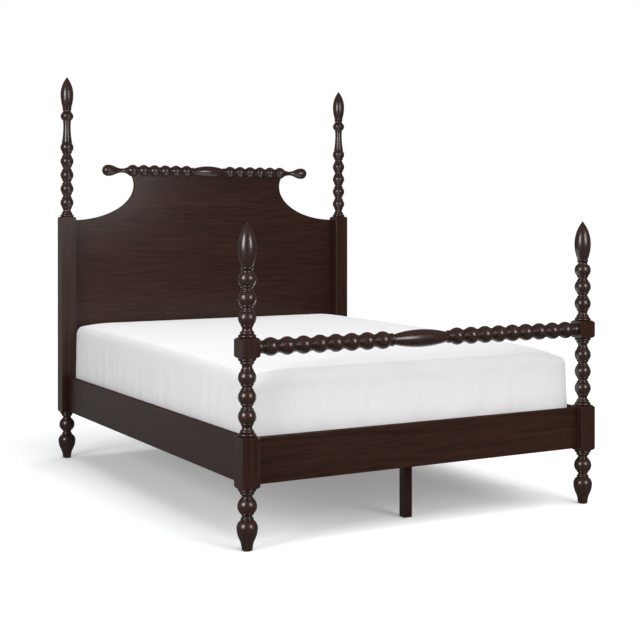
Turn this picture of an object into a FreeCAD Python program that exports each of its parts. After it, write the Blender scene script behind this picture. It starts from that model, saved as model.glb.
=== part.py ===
import FreeCAD, Part
import math
import os

from FreeCAD import Vector

# Spindle bed for a queen mattress, in millimetres.
# +X is to the right seen from the foot end, +Y runs from foot to head and +Z is up.
# The origin is on the floor, in the middle of the bed's footprint.

# Mattress and fitted sheet
MATTRESS_WIDTH = 1524.0
MATTRESS_LENGTH = 2032.0
MATTRESS_EDGE_HEIGHT = 285.0
MATTRESS_CROWN = 12.0
CROWN_SHOULDER = 160.0
CROWN_SHOULDER_RISE = 8.4
CROWN_REACH = 420.0
MATTRESS_CORNER_RADIUS = 70.0
MATTRESS_LOWER_ROUND = 20.0
MATTRESS_UPPER_ROUND = 32.0
MATTRESS_WAIST = 5.0
MATTRESS_SIDE_CLEARANCE = 10.0
MATTRESS_END_CLEARANCE = 18.0
SHEET_THICKNESS = 1.0
SHEET_HEM_WIDTH = 90.0

# Posts
POST_SIDE = 74.0
POST_ARRIS_RADIUS = 2.0
BLOCK_SHOULDER_RISE = 9.0
BLOCK_SHOULDER_LEDGE = 1.5
UPPER_BLOCK_HEIGHT = 73.0
HEAD_POST_HEIGHT = 1222.0

# Turned feet
GLIDE_THICKNESS = 3.0
GLIDE_RADIUS = 17.0
GLIDE_NAIL_RADIUS = 1.5
GLIDE_NAIL_LENGTH = 18.0
FOOT_TOE_RADIUS = 20.5
FOOT_BULGE_RADIUS = 39.5
FOOT_BULGE_RISE = 81.0
FOOT_BEAD_RADIUS = 36.5
HEAD_FOOT_BULGE_RADIUS = 42.5
HEAD_FOOT_BULGE_RISE = 88.0
HEAD_FOOT_BEAD_RADIUS = 38.0
FOOT_SHOULDER_RISE = 28.5
FOOT_BEAD_LENGTH = 46.0

# Turned beads on the posts
BEAD_RADIUS = 34.2
BEAD_LENGTH = 44.0
HEAD_BEAD_RADIUS = 32.5
HEAD_BEAD_LENGTH = 42.5
FOOT_POST_BEADS = 3
HEAD_POST_BEADS = 5
RING_RADIUS = 25.0
RING_LENGTH = 7.5
RING_ROUND = 2.5
COVE_RADIUS = 19.5
COVE_LENGTH = 12.5
COVE_DEPTH = 4.0
SEAT_COVE_LENGTH = 20.0
SEAT_RING_RADIUS = 27.0
SEAT_RING_LENGTH = 11.0
COLLAR_RADIUS = 34.0
COLLAR_LENGTH = 12.0
COLLAR_ROUND = 4.0

# Vase and collar bead of the headboard post tops
VASE_RING_RADIUS = 26.5
VASE_BASE_RADIUS = 25.0
VASE_NECK_RADIUS = 18.5
VASE_LIP_RADIUS = 20.5
VASE_TAPER_LENGTH = 78.0
VASE_LIP_LENGTH = 32.0
COLLAR_BEAD_RADIUS = 32.0
COLLAR_BEAD_LENGTH = 40.0

# Finials
FINIAL_COVE_LENGTH = 14.5
FINIAL_RING_RADIUS = 23.0
FINIAL_RING_LENGTH = 9.0
FINIAL_BASE_RADIUS = 21.5
FINIAL_SWELL_LENGTH = 66.0
FINIAL_TIP_RADIUS = 2.5
FOOT_FINIAL_RADIUS = 34.5
FOOT_FINIAL_POINT_LENGTH = 94.0
HEAD_FINIAL_RADIUS = 32.0
HEAD_FINIAL_POINT_LENGTH = 86.0

# Footboard spindle rail
SPINDLE_BEAD_RADIUS = 35.0
SPINDLE_BEAD_LENGTH = 48.0
SPINDLE_RING_RADIUS = 26.0
SPINDLE_RING_LENGTH = 7.0
SPINDLE_COVE_RADIUS = 20.5
SPINDLE_COVE_LENGTH = 8.0
SPINDLE_LEFT_BEADS = 8
SPINDLE_RIGHT_BEADS = 9
SPINDLE_END_LENGTH = 20.0
SPINDLE_BARREL_RADIUS = 35.0
SPINDLE_BARREL_END_RADIUS = 19.0
SPINDLE_TENON_RADIUS = 12.0
SPINDLE_TENON_LENGTH = 35.0

# Crest rail
CREST_AXIS_HEIGHT = 1463.0
CREST_BEADS = 6
CREST_BEAD_RADIUS = 31.5
CREST_BEAD_LENGTH = 44.0
CREST_RING_RADIUS = 22.5
CREST_RING_LENGTH = 5.5
CREST_COVE_RADIUS = 16.0
CREST_COVE_LENGTH = 6.0
CREST_BARREL_LENGTH = 178.0
CREST_BARREL_RADIUS = 31.0
CREST_BARREL_END_RADIUS = 17.0
CREST_NECK_RADIUS = 11.0
CREST_NECK_LENGTH = 36.0
CREST_DROP_RADIUS = 29.5
CREST_DROP_LENGTH = 79.0
CREST_SEAT_DROP = 12.0

# Headboard panel and bottom rail
PANEL_THICKNESS = 22.0
PANEL_INSET = 52.0
PANEL_GROOVE_DEPTH = 12.0
PANEL_FIT = 0.2
SCOOP_WIDTH = 335.0
SCOOP_HEIGHT = 183.0
SCOOP_CENTRE_DROP = 75.0
HEAD_RAIL_HEIGHT = 92.0
HEAD_RAIL_LIP = 6.0

# Side rails, footboard bottom rail and their tenons
RAIL_THICKNESS = 28.0
RAIL_HEIGHT = 172.0
RAIL_INSET = 34.0
RAIL_REVEAL = 9.0
RAIL_ARRIS_RADIUS = 2.0
TENON_THICKNESS = 12.0
TENON_SHOULDER = 18.0
TENON_LENGTH = 30.0
TENON_FIT = 0.2

# Ledgers and slats
LEDGER_THICKNESS = 25.0
LEDGER_HEIGHT = 40.0
LEDGER_END_GAP = 20.0
LEDGER_SCREWS = 6
SLAT_COUNT = 13
SLAT_WIDTH = 70.0
SLAT_THICKNESS = 20.0
SLAT_END_GAP = 2.0
SLAT_ARRIS_RADIUS = 3.0
SLAT_TOP_DROP = 25.0
FIRST_SLAT_OFFSET = 70.0

# Centre beam, hangers, legs and levellers
BEAM_WIDTH = 45.0
BEAM_HEIGHT = 70.0
HANGER_THICKNESS = 2.5
HANGER_REACH = 40.0
HANGER_CHEEK_HEIGHT = 32.0
HANGER_EAR_WIDTH = 24.0
HANGER_DROP = 12.0
HANGER_FIT = 0.3
LEG_SIDE = 38.0
LEG_END_OFFSET = 160.0
LEG_FLOOR_GAP = 1.0
LEG_BOLT_RADIUS = 4.0
LEG_BOLT_HEAD_RADIUS = 7.5
LEG_BOLT_HEAD_LENGTH = 6.0
LEG_BOLT_BITE = 45.0
LEVELLER_PAD_RADIUS = 12.0
LEVELLER_PAD_THICKNESS = 5.0
LEVELLER_PAD_CLEARANCE = 1.0
LEVELLER_STEM_RADIUS = 4.0
LEVELLER_STEM_LENGTH = 32.0
LEVELLER_FIT = 0.08
INSERT_RADIUS = 7.0
INSERT_LENGTH = 25.0

# Bed-rail hooks
HOOK_PLATE_WIDTH = 22.0
HOOK_PLATE_HEIGHT = 140.0
HOOK_PLATE_THICKNESS = 3.0
HOOK_THICKNESS = 3.0
HOOK_NECK_HEIGHT = 14.0
HOOK_DROP = 14.0
HOOK_REACH = 11.0
HOOK_SPACING = 60.0
HOOK_FIT = 0.3

# Screws and dowels
SCREW_RADIUS = 2.2
SCREW_HEAD_RADIUS = 4.4
SCREW_HEAD_LENGTH = 2.6
SCREW_LENGTH = 32.0
SHORT_SCREW_LENGTH = 18.0
FASTENER_FIT = 0.05
FINIAL_DOWEL_RADIUS = 6.0
FINIAL_DOWEL_LENGTH = 60.0
POST_TOP_DOWEL_RADIUS = 9.5
POST_TOP_DOWEL_LENGTH = 90.0
CREST_DOWEL_SPACING = 200.0
CREST_DOWEL_END_DISTANCE = 60.0
CREST_DOWEL_RADIUS = 4.0
CREST_DOWEL_LENGTH = 50.0
DOWEL_END_GAP = 0.5

# Lengths of the turned stretches that set heights on the posts


def seat_length(cove_length):
    """Ring, cove, seat ring and collar between a bead and a square block."""
    return RING_LENGTH + cove_length + SEAT_RING_LENGTH + COLLAR_LENGTH


def gap_length():
    """Ring, cove and ring between two beads of a post."""
    return 2 * RING_LENGTH + COVE_LENGTH


def stack_length(beads, bead_length):
    """A stack of beads with the gaps between them."""
    return beads * bead_length + (beads - 1) * gap_length()


def foot_height(bulge_rise):
    """From the floor to the square above a turned foot."""
    lower = GLIDE_THICKNESS + bulge_rise + FOOT_SHOULDER_RISE + gap_length()
    return lower + FOOT_BEAD_LENGTH + seat_length(COVE_LENGTH)


# Places worked out from the sizes
POST_HALF = POST_SIDE / 2
RAIL_INNER_X = MATTRESS_WIDTH / 2 + MATTRESS_SIDE_CLEARANCE
RAIL_OUTER_X = RAIL_INNER_X + RAIL_THICKNESS
RAIL_MIDDLE_X = RAIL_INNER_X + RAIL_THICKNESS / 2
POST_X = RAIL_OUTER_X + RAIL_INSET - POST_HALF
POST_INNER_X = POST_X - POST_HALF

MATTRESS_BAY = MATTRESS_LENGTH + 2 * MATTRESS_END_CLEARANCE
POST_SPACING_Y = RAIL_INSET + RAIL_THICKNESS + MATTRESS_BAY - PANEL_INSET
FOOT_REACH = max(POST_HALF, FOOT_BULGE_RADIUS)
CREST_REACH = PANEL_INSET - POST_HALF + PANEL_THICKNESS / 2 + CREST_BEAD_RADIUS
HEAD_REACH = max(POST_HALF, HEAD_FOOT_BULGE_RADIUS, CREST_REACH)
FOOT_Y = (FOOT_REACH - HEAD_REACH - POST_SPACING_Y) / 2
HEAD_Y = FOOT_Y + POST_SPACING_Y
FOOT_RAIL_OUTER_Y = FOOT_Y - POST_HALF + RAIL_INSET
FOOT_RAIL_INNER_Y = FOOT_RAIL_OUTER_Y + RAIL_THICKNESS
FOOT_RAIL_MIDDLE_Y = FOOT_RAIL_OUTER_Y + RAIL_THICKNESS / 2
PANEL_FRONT_Y = HEAD_Y - POST_HALF + PANEL_INSET
PANEL_MIDDLE_Y = PANEL_FRONT_Y + PANEL_THICKNESS / 2
HEAD_RAIL_FRONT_Y = PANEL_FRONT_Y - HEAD_RAIL_LIP
HEAD_RAIL_MIDDLE_Y = HEAD_RAIL_FRONT_Y + RAIL_THICKNESS / 2
MATTRESS_Y = FOOT_RAIL_INNER_Y + MATTRESS_BAY / 2

LOWER_BLOCK_BOTTOM = foot_height(FOOT_BULGE_RISE)
RAIL_BOTTOM = LOWER_BLOCK_BOTTOM + RAIL_REVEAL
RAIL_TOP = RAIL_BOTTOM + RAIL_HEIGHT
RAIL_MIDDLE_Z = RAIL_BOTTOM + RAIL_HEIGHT / 2
LOWER_BLOCK_TOP = RAIL_TOP + RAIL_REVEAL
STACK_LENGTH = stack_length(FOOT_POST_BEADS, BEAD_LENGTH)
UPPER_BLOCK_BOTTOM = LOWER_BLOCK_TOP + 2 * seat_length(SEAT_COVE_LENGTH) + STACK_LENGTH
UPPER_BLOCK_TOP = UPPER_BLOCK_BOTTOM + UPPER_BLOCK_HEIGHT
SPINDLE_AXIS_HEIGHT = UPPER_BLOCK_BOTTOM + UPPER_BLOCK_HEIGHT / 2
FOOT_POST_TOP = UPPER_BLOCK_TOP + seat_length(SEAT_COVE_LENGTH) + STACK_LENGTH + FINIAL_COVE_LENGTH

SLAT_TOP = RAIL_TOP - SLAT_TOP_DROP
LEDGER_TOP = SLAT_TOP - SLAT_THICKNESS
BEAM_BOTTOM = LEDGER_TOP - BEAM_HEIGHT
HEAD_RAIL_TOP = RAIL_BOTTOM + HEAD_RAIL_HEIGHT
CREST_SEAT_HEIGHT = CREST_AXIS_HEIGHT - CREST_SEAT_DROP
SCOOP_CENTRE_HEIGHT = CREST_AXIS_HEIGHT - SCOOP_CENTRE_DROP

SIDES = {"left": -1, "right": 1}
UP = Vector(0, 0, 1)


class Turning:
    """Outline of a lathe-turned piece, drawn along its axis from one end to the other."""

    def __init__(self, height, radius):
        self.first = Vector(radius, 0, height)
        self.last = self.first
        self.edges = []

    def line(self, radius, length):
        """Straight run to a radius this much further along."""
        end = Vector(radius, 0, self.last.z + length)
        if end.distanceToPoint(self.last) > 1e-6:
            self.edges.append(Part.makeLine(self.last, end))
            self.last = end

    def step(self, radius):
        """Square shoulder, straight in or out."""
        self.line(radius, 0)

    def arc(self, middle, end):
        self.edges.append(Part.Arc(self.last, middle, end).toShape())
        self.last = end

    def bow(self, radius, length):
        """Arc that reaches a radius half way and ends at the radius it began with."""
        middle = Vector(radius, 0, self.last.z + length / 2)
        self.arc(middle, Vector(self.last.x, 0, self.last.z + length))

    def flare(self, radius, length, level_end):
        """Arc to a radius that runs level with the axis at its end, or else at its start."""
        end = Vector(radius, 0, self.last.z + length)
        level, far = (end, self.last) if level_end else (self.last, end)
        depth = far.x - level.x
        curve = (depth ** 2 + length ** 2) / (2 * abs(depth))
        half_turn = math.atan2(length, curve - abs(depth)) / 2
        sideways = math.copysign(curve * (1 - math.cos(half_turn)), depth)
        along = math.copysign(curve * math.sin(half_turn), far.z - level.z)
        self.arc(level + Vector(sideways, 0, along), end)

    def round_end(self):
        """Half ball that closes the end of a piece."""
        radius = self.last.x
        rise = Vector(radius * math.sqrt(0.5) - radius, 0, radius * math.sqrt(0.5))
        self.arc(self.last + rise, Vector(0, 0, self.last.z + radius))

    def ogee(self, radius, length):
        """S-curve to a radius, level with the axis at both ends."""
        self.flare((self.last.x + radius) / 2, length / 2, level_end=False)
        self.flare(radius, length / 2, level_end=True)

    def bead(self, radius, length):
        """Ball cut off square at both ends."""
        self.step(math.sqrt(radius ** 2 - (length / 2) ** 2))
        self.bow(radius, length)

    def ring(self, radius, length, rounding=RING_ROUND):
        self.step(radius - rounding)
        self.bow(radius, length)

    def cove(self, radius, length):
        self.step(radius + COVE_DEPTH)
        self.bow(radius, length)

    def gap(self, ring_radius, ring_length, cove_radius, cove_length):
        """Ring, cove and ring between two beads."""
        self.ring(ring_radius, ring_length)
        self.cove(cove_radius, cove_length)
        self.ring(ring_radius, ring_length)

    def post_gap(self):
        self.gap(RING_RADIUS, RING_LENGTH, COVE_RADIUS, COVE_LENGTH)

    def post_beads(self, count, radius, length):
        for number in range(count):
            if number:
                self.post_gap()
            self.bead(radius, length)

    def seat_from_block(self, cove_length):
        """Collar, seat ring, cove and ring that lead from a block to a bead."""
        self.ring(COLLAR_RADIUS, COLLAR_LENGTH, COLLAR_ROUND)
        self.ring(SEAT_RING_RADIUS, SEAT_RING_LENGTH)
        self.cove(COVE_RADIUS, cove_length)
        self.ring(RING_RADIUS, RING_LENGTH)

    def seat_to_block(self, cove_length):
        """The same seat from a bead to a block."""
        self.ring(RING_RADIUS, RING_LENGTH)
        self.cove(COVE_RADIUS, cove_length)
        self.ring(SEAT_RING_RADIUS, SEAT_RING_LENGTH)
        self.ring(COLLAR_RADIUS, COLLAR_LENGTH, COLLAR_ROUND)

    def dome(self, radius, length):
        """Arc between a flat shoulder, at the smaller radius, and the outside of a block."""
        end = Vector(radius, 0, self.last.z + length)
        flat, far = (self.last, end) if radius > self.last.x else (end, self.last)
        width = far.x - flat.x
        curve = (width ** 2 + length ** 2) / (2 * length)
        half_turn = math.atan2(width, curve - length) / 2
        along = math.copysign(curve * (1 - math.cos(half_turn)), far.z - flat.z)
        self.arc(flat + Vector(curve * math.sin(half_turn), 0, along), end)

    def block(self, length):
        """Round blank of a square block, with the turned shoulders that arch its faces."""
        corner = POST_HALF * math.sqrt(2)
        ledge = POST_HALF - BLOCK_SHOULDER_LEDGE
        self.step(ledge)
        self.dome(corner, BLOCK_SHOULDER_RISE)
        self.line(corner, length - 2 * BLOCK_SHOULDER_RISE)
        self.dome(ledge, BLOCK_SHOULDER_RISE)

    def foot(self, bulge_radius, bulge_rise, bead_radius):
        """Tapered foot, bulge, bead and seat below a square block."""
        self.ogee(bulge_radius, bulge_rise)
        self.flare(RING_RADIUS - RING_ROUND, FOOT_SHOULDER_RISE, level_end=False)
        self.post_gap()
        self.bead(bead_radius, FOOT_BEAD_LENGTH)
        self.seat_to_block(COVE_LENGTH)

    def solid(self):
        """Turn the outline once round the Z axis."""
        start = self.first
        self.step(0)
        self.line(0, start.z - self.last.z)
        self.step(start.x)
        return Part.Face(Part.Wire(self.edges)).revolve(Vector(), UP, 360)


# Plain shapes and their placing


def box(x, y, z):
    """Box between three pairs of limits."""
    low = Vector(min(x), min(y), min(z))
    return Part.makeBox(max(x) - low.x, max(y) - low.y, max(z) - low.z, low)


def spread(middle, size):
    """Limits of a size about its middle."""
    return middle - size / 2, middle + size / 2


def soften(shape, radius, direction):
    """Round the straight edges that run along a direction."""
    edges = []
    for edge in shape.Edges:
        run = edge.Vertexes[-1].Point - edge.Vertexes[0].Point
        if abs(run.normalize().dot(direction)) > 0.999:
            edges.append(edge)
    return shape.makeFillet(radius, edges)


def moved(shape, x=0.0, y=0.0, z=0.0):
    copy = shape.copy()
    copy.translate(Vector(x, y, z))
    return copy


def turned(shape, axis, angle):
    copy = shape.copy()
    copy.rotate(Vector(), axis, angle)
    return copy


def along_x(shape):
    """Lay an upright turning along +X."""
    return turned(shape, Vector(0, 1, 0), 90)


def cylinder(radius, bottom, top):
    return Part.makeCylinder(radius, top - bottom, Vector(0, 0, bottom))


def mirrored_x(shape):
    return shape.mirror(Vector(), Vector(1, 0, 0))


# Fasteners


def screw(length, fit=0.0):
    """Countersunk screw pointing down, its head flush at the origin; a fit makes its hole."""
    head = SCREW_HEAD_RADIUS + fit
    shank = SCREW_RADIUS + fit
    outline = Turning(-length - fit, shank)
    outline.line(shank, length + fit - SCREW_HEAD_LENGTH)
    outline.line(head, SCREW_HEAD_LENGTH)
    return outline.solid()


def dowel(radius, length):
    """Upright dowel about the origin, a little short of its two holes."""
    return cylinder(radius - FASTENER_FIT, DOWEL_END_GAP - length / 2, length / 2 - DOWEL_END_GAP)


def dowel_hole(radius, length):
    return cylinder(radius, -length / 2, length / 2)


# Posts


def squared(blank, bottom, top):
    """Plane a turned blank square between two heights, with soft arrises."""
    height = bottom, top
    reach = spread(0, 2 * POST_SIDE)
    side = spread(0, POST_SIDE)
    square = soften(box(side, side, height), POST_ARRIS_RADIUS, UP)
    return blank.cut(box(reach, reach, height).cut(square))


def glide_nail_hole():
    return cylinder(GLIDE_NAIL_RADIUS + FASTENER_FIT, 0, GLIDE_THICKNESS + GLIDE_NAIL_LENGTH)


def tenon_mortise(y, bottom, height):
    """Mortise in the inner face of a right-hand post for a rail's end."""
    depth = POST_INNER_X - POST_X, POST_INNER_X - POST_X + TENON_LENGTH + TENON_FIT
    thick = spread(y, TENON_THICKNESS + 2 * TENON_FIT)
    tall = spread(bottom + height / 2, height - 2 * TENON_SHOULDER + 2 * TENON_FIT)
    return box(depth, thick, tall)


def foot_post():
    """Right-hand footboard post about its own axis."""
    outline = Turning(GLIDE_THICKNESS, FOOT_TOE_RADIUS)
    outline.foot(FOOT_BULGE_RADIUS, FOOT_BULGE_RISE, FOOT_BEAD_RADIUS)
    outline.block(LOWER_BLOCK_TOP - LOWER_BLOCK_BOTTOM)
    outline.seat_from_block(SEAT_COVE_LENGTH)
    outline.post_beads(FOOT_POST_BEADS, BEAD_RADIUS, BEAD_LENGTH)
    outline.seat_to_block(SEAT_COVE_LENGTH)
    outline.block(UPPER_BLOCK_HEIGHT)
    outline.seat_from_block(SEAT_COVE_LENGTH)
    outline.post_beads(FOOT_POST_BEADS, BEAD_RADIUS, BEAD_LENGTH)
    outline.cove(COVE_RADIUS, FINIAL_COVE_LENGTH)
    post = squared(outline.solid(), LOWER_BLOCK_BOTTOM, LOWER_BLOCK_TOP)
    post = squared(post, UPPER_BLOCK_BOTTOM, UPPER_BLOCK_TOP)
    post = post.cut(tenon_mortise(FOOT_RAIL_MIDDLE_Y - FOOT_Y, RAIL_BOTTOM, RAIL_HEIGHT))
    socket = cylinder(SPINDLE_TENON_RADIUS + TENON_FIT, 0, SPINDLE_TENON_LENGTH + TENON_FIT)
    post = post.cut(moved(along_x(socket), x=-POST_HALF, z=SPINDLE_AXIS_HEIGHT))
    post = post.cut(moved(dowel_hole(FINIAL_DOWEL_RADIUS, FINIAL_DOWEL_LENGTH), z=FOOT_POST_TOP))
    hooks = turned(post_hook_recess(), UP, 180)
    post = post.cut(moved(hooks, x=RAIL_MIDDLE_X - POST_X, y=POST_HALF, z=RAIL_MIDDLE_Z))
    return post.cut(glide_nail_hole())


def head_post():
    """Right-hand headboard post about its own axis."""
    bottom = foot_height(HEAD_FOOT_BULGE_RISE)
    outline = Turning(GLIDE_THICKNESS, FOOT_TOE_RADIUS)
    outline.foot(HEAD_FOOT_BULGE_RADIUS, HEAD_FOOT_BULGE_RISE, HEAD_FOOT_BEAD_RADIUS)
    outline.block(HEAD_POST_HEIGHT - bottom)
    post = squared(outline.solid(), bottom, HEAD_POST_HEIGHT)
    panel_y = spread(PANEL_MIDDLE_Y - HEAD_Y, PANEL_THICKNESS + 2 * PANEL_FIT)
    groove_x = -POST_HALF, PANEL_GROOVE_DEPTH - POST_HALF
    groove_top = SCOOP_CENTRE_HEIGHT - SCOOP_HEIGHT + PANEL_FIT
    post = post.cut(box(groove_x, panel_y, (HEAD_RAIL_TOP, groove_top)))
    post = post.cut(tenon_mortise(HEAD_RAIL_MIDDLE_Y - HEAD_Y, RAIL_BOTTOM, HEAD_RAIL_HEIGHT))
    post = post.cut(moved(dowel_hole(POST_TOP_DOWEL_RADIUS, POST_TOP_DOWEL_LENGTH), z=HEAD_POST_HEIGHT))
    hooks = post_hook_recess()
    post = post.cut(moved(hooks, x=RAIL_MIDDLE_X - POST_X, y=-POST_HALF, z=RAIL_MIDDLE_Z))
    return post.cut(glide_nail_hole())


def head_post_top():
    """Turned upper part of a headboard post, standing at the origin."""
    outline = Turning(0, COLLAR_RADIUS - COLLAR_ROUND)
    outline.seat_from_block(SEAT_COVE_LENGTH)
    outline.post_beads(HEAD_POST_BEADS, HEAD_BEAD_RADIUS, HEAD_BEAD_LENGTH)
    outline.ring(VASE_RING_RADIUS, RING_LENGTH)
    outline.step(VASE_BASE_RADIUS)
    outline.flare(VASE_NECK_RADIUS, VASE_TAPER_LENGTH, level_end=True)
    outline.flare(VASE_LIP_RADIUS, VASE_LIP_LENGTH, level_end=False)
    outline.bow(COLLAR_BEAD_RADIUS, COLLAR_BEAD_LENGTH)
    outline.cove(COVE_RADIUS, FINIAL_COVE_LENGTH)
    top = outline.last.z
    shape = outline.solid()
    shape = shape.cut(dowel_hole(POST_TOP_DOWEL_RADIUS, POST_TOP_DOWEL_LENGTH))
    shape = shape.cut(moved(dowel_hole(FINIAL_DOWEL_RADIUS, FINIAL_DOWEL_LENGTH), z=top))
    return shape, top


def finial(radius, point_length):
    """Pointed bud on a ring, standing at the origin."""
    outline = Turning(0, FINIAL_RING_RADIUS - RING_ROUND)
    outline.ring(FINIAL_RING_RADIUS, FINIAL_RING_LENGTH)
    outline.step(FINIAL_BASE_RADIUS)
    outline.flare(radius, FINIAL_SWELL_LENGTH, level_end=True)
    outline.flare(FINIAL_TIP_RADIUS, point_length, level_end=False)
    outline.round_end()
    return outline.solid().cut(dowel_hole(FINIAL_DOWEL_RADIUS, FINIAL_DOWEL_LENGTH))


def post_glide():
    """Nail-on glide under a post's foot."""
    outline = Turning(0, GLIDE_RADIUS - GLIDE_THICKNESS / 3)
    outline.line(GLIDE_RADIUS, GLIDE_THICKNESS / 3)
    outline.line(GLIDE_RADIUS, GLIDE_THICKNESS * 2 / 3)
    outline.step(GLIDE_NAIL_RADIUS)
    outline.line(GLIDE_NAIL_RADIUS, GLIDE_NAIL_LENGTH - DOWEL_END_GAP)
    return outline.solid()


# Turned rails


def spindle_rail():
    """Footboard rail: a barrel between two runs of beads, with a round tenon at each end."""
    pitch = SPINDLE_BEAD_LENGTH + 2 * SPINDLE_RING_LENGTH + SPINDLE_COVE_LENGTH
    run_ends = 2 * (SPINDLE_END_LENGTH + SPINDLE_RING_LENGTH + SPINDLE_COVE_LENGTH)
    beads = (SPINDLE_LEFT_BEADS + SPINDLE_RIGHT_BEADS) * pitch
    barrel_length = 2 * POST_INNER_X - run_ends - beads
    sizes = SPINDLE_RING_RADIUS, SPINDLE_RING_LENGTH, SPINDLE_COVE_RADIUS, SPINDLE_COVE_LENGTH
    outline = Turning(-POST_INNER_X - SPINDLE_TENON_LENGTH, SPINDLE_TENON_RADIUS)
    outline.line(SPINDLE_TENON_RADIUS, SPINDLE_TENON_LENGTH)
    outline.ring(SPINDLE_RING_RADIUS, SPINDLE_END_LENGTH)
    outline.cove(SPINDLE_COVE_RADIUS, SPINDLE_COVE_LENGTH)
    outline.ring(SPINDLE_RING_RADIUS, SPINDLE_RING_LENGTH)
    for _ in range(SPINDLE_LEFT_BEADS):
        outline.bead(SPINDLE_BEAD_RADIUS, SPINDLE_BEAD_LENGTH)
        outline.gap(*sizes)
    outline.step(SPINDLE_BARREL_END_RADIUS)
    outline.bow(SPINDLE_BARREL_RADIUS, barrel_length)
    for _ in range(SPINDLE_RIGHT_BEADS):
        outline.gap(*sizes)
        outline.bead(SPINDLE_BEAD_RADIUS, SPINDLE_BEAD_LENGTH)
    outline.ring(SPINDLE_RING_RADIUS, SPINDLE_RING_LENGTH)
    outline.cove(SPINDLE_COVE_RADIUS, SPINDLE_COVE_LENGTH)
    outline.ring(SPINDLE_RING_RADIUS, SPINDLE_END_LENGTH)
    outline.step(SPINDLE_TENON_RADIUS)
    outline.line(SPINDLE_TENON_RADIUS, SPINDLE_TENON_LENGTH)
    return moved(along_x(outline.solid()), y=FOOT_Y, z=SPINDLE_AXIS_HEIGHT)


def crest_half():
    """Right-hand half of the crest rail, from the middle of its barrel to its drop end."""
    sizes = CREST_RING_RADIUS, CREST_RING_LENGTH, CREST_COVE_RADIUS, CREST_COVE_LENGTH
    outline = Turning(0, CREST_BARREL_RADIUS)
    outline.flare(CREST_BARREL_END_RADIUS, CREST_BARREL_LENGTH / 2, level_end=False)
    for _ in range(CREST_BEADS):
        outline.gap(*sizes)
        outline.bead(CREST_BEAD_RADIUS, CREST_BEAD_LENGTH)
    outline.flare(CREST_NECK_RADIUS, CREST_NECK_LENGTH, level_end=True)
    outline.ogee(CREST_DROP_RADIUS, CREST_DROP_LENGTH)
    outline.round_end()
    return along_x(outline.solid())


def crest_rail():
    """Turned bar grooved along its underside to sit on the panel."""
    half = crest_half()
    bar = moved(half.fuse(mirrored_x(half)), y=PANEL_MIDDLE_Y, z=CREST_AXIS_HEIGHT)
    seat_x = spread(0, 2 * panel_neck(CREST_SEAT_HEIGHT))
    seat_y = spread(PANEL_MIDDLE_Y, PANEL_THICKNESS + 2 * PANEL_FIT)
    bar = bar.cut(box(seat_x, seat_y, (CREST_AXIS_HEIGHT - POST_SIDE, CREST_SEAT_HEIGHT)))
    return drilled(bar, crest_dowel_holes())


def crest_dowel_places():
    """Evenly about the middle, as many as the panel's neck has room for."""
    room = 2 * (panel_neck(CREST_SEAT_HEIGHT) - CREST_DOWEL_END_DISTANCE)
    gaps = int(room // CREST_DOWEL_SPACING)
    first = -CREST_DOWEL_SPACING * gaps / 2
    return [first + CREST_DOWEL_SPACING * number for number in range(gaps + 1)]


def crest_dowel_holes():
    hole = dowel_hole(CREST_DOWEL_RADIUS, CREST_DOWEL_LENGTH)
    return [moved(hole, x, PANEL_MIDDLE_Y, crest_dowel_height()) for x in crest_dowel_places()]


def crest_dowel_height():
    """Middle of the dowels: one third of each is in the crest rail."""
    return CREST_SEAT_HEIGHT - CREST_DOWEL_LENGTH / 6


def drilled(shape, tools):
    for tool in tools:
        shape = shape.cut(tool)
    return shape


# Headboard panel and flat rails


def panel_neck(height):
    """Half-width of the panel's neck at a height."""
    share = (height - SCOOP_CENTRE_HEIGHT) / SCOOP_HEIGHT
    return POST_INNER_X - SCOOP_WIDTH * math.sqrt(1 - share ** 2)


def scoop():
    """Elliptical cutter for one shoulder of the panel, about the origin."""
    wide = SCOOP_WIDTH >= SCOOP_HEIGHT
    major, minor = (SCOOP_WIDTH, SCOOP_HEIGHT) if wide else (SCOOP_HEIGHT, SCOOP_WIDTH)
    ellipse = Part.Ellipse(Vector(), major, minor).toShape()
    cutter = Part.Face(Part.Wire(ellipse)).extrude(Vector(0, 0, 3 * PANEL_THICKNESS))
    cutter = turned(moved(cutter, z=-1.5 * PANEL_THICKNESS), Vector(1, 0, 0), 90)
    return cutter if wide else turned(cutter, Vector(0, 1, 0), 90)


def headboard_panel():
    """Board with an elliptical scoop at each shoulder, tongued into posts and bottom rail."""
    half_width = POST_INNER_X + PANEL_GROOVE_DEPTH - PANEL_FIT
    depth = PANEL_FRONT_Y, PANEL_FRONT_Y + PANEL_THICKNESS
    lower = HEAD_RAIL_TOP - PANEL_GROOVE_DEPTH + PANEL_FIT
    board = box((-half_width, half_width), depth, (HEAD_RAIL_TOP, CREST_SEAT_HEIGHT))
    tongue = box((-POST_INNER_X, POST_INNER_X), depth, (lower, HEAD_RAIL_TOP))
    board = board.fuse(tongue).removeSplitter()
    for side in SIDES.values():
        board = board.cut(moved(scoop(), side * POST_INNER_X, PANEL_MIDDLE_Y, SCOOP_CENTRE_HEIGHT))
    return drilled(board, crest_dowel_holes())


def cross_rail(front, bottom, height):
    """Flat rail between two posts, with a tenon at each end."""
    span = -POST_INNER_X, POST_INNER_X
    rail = box(span, (front, front + RAIL_THICKNESS), (bottom, bottom + height))
    rail = soften(rail, RAIL_ARRIS_RADIUS, Vector(1, 0, 0))
    tenon_x = -POST_INNER_X - TENON_LENGTH, POST_INNER_X + TENON_LENGTH
    tenon_y = spread(front + RAIL_THICKNESS / 2, TENON_THICKNESS)
    tenon_z = spread(bottom + height / 2, height - 2 * TENON_SHOULDER)
    return rail.fuse(box(tenon_x, tenon_y, tenon_z)).removeSplitter()


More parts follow.
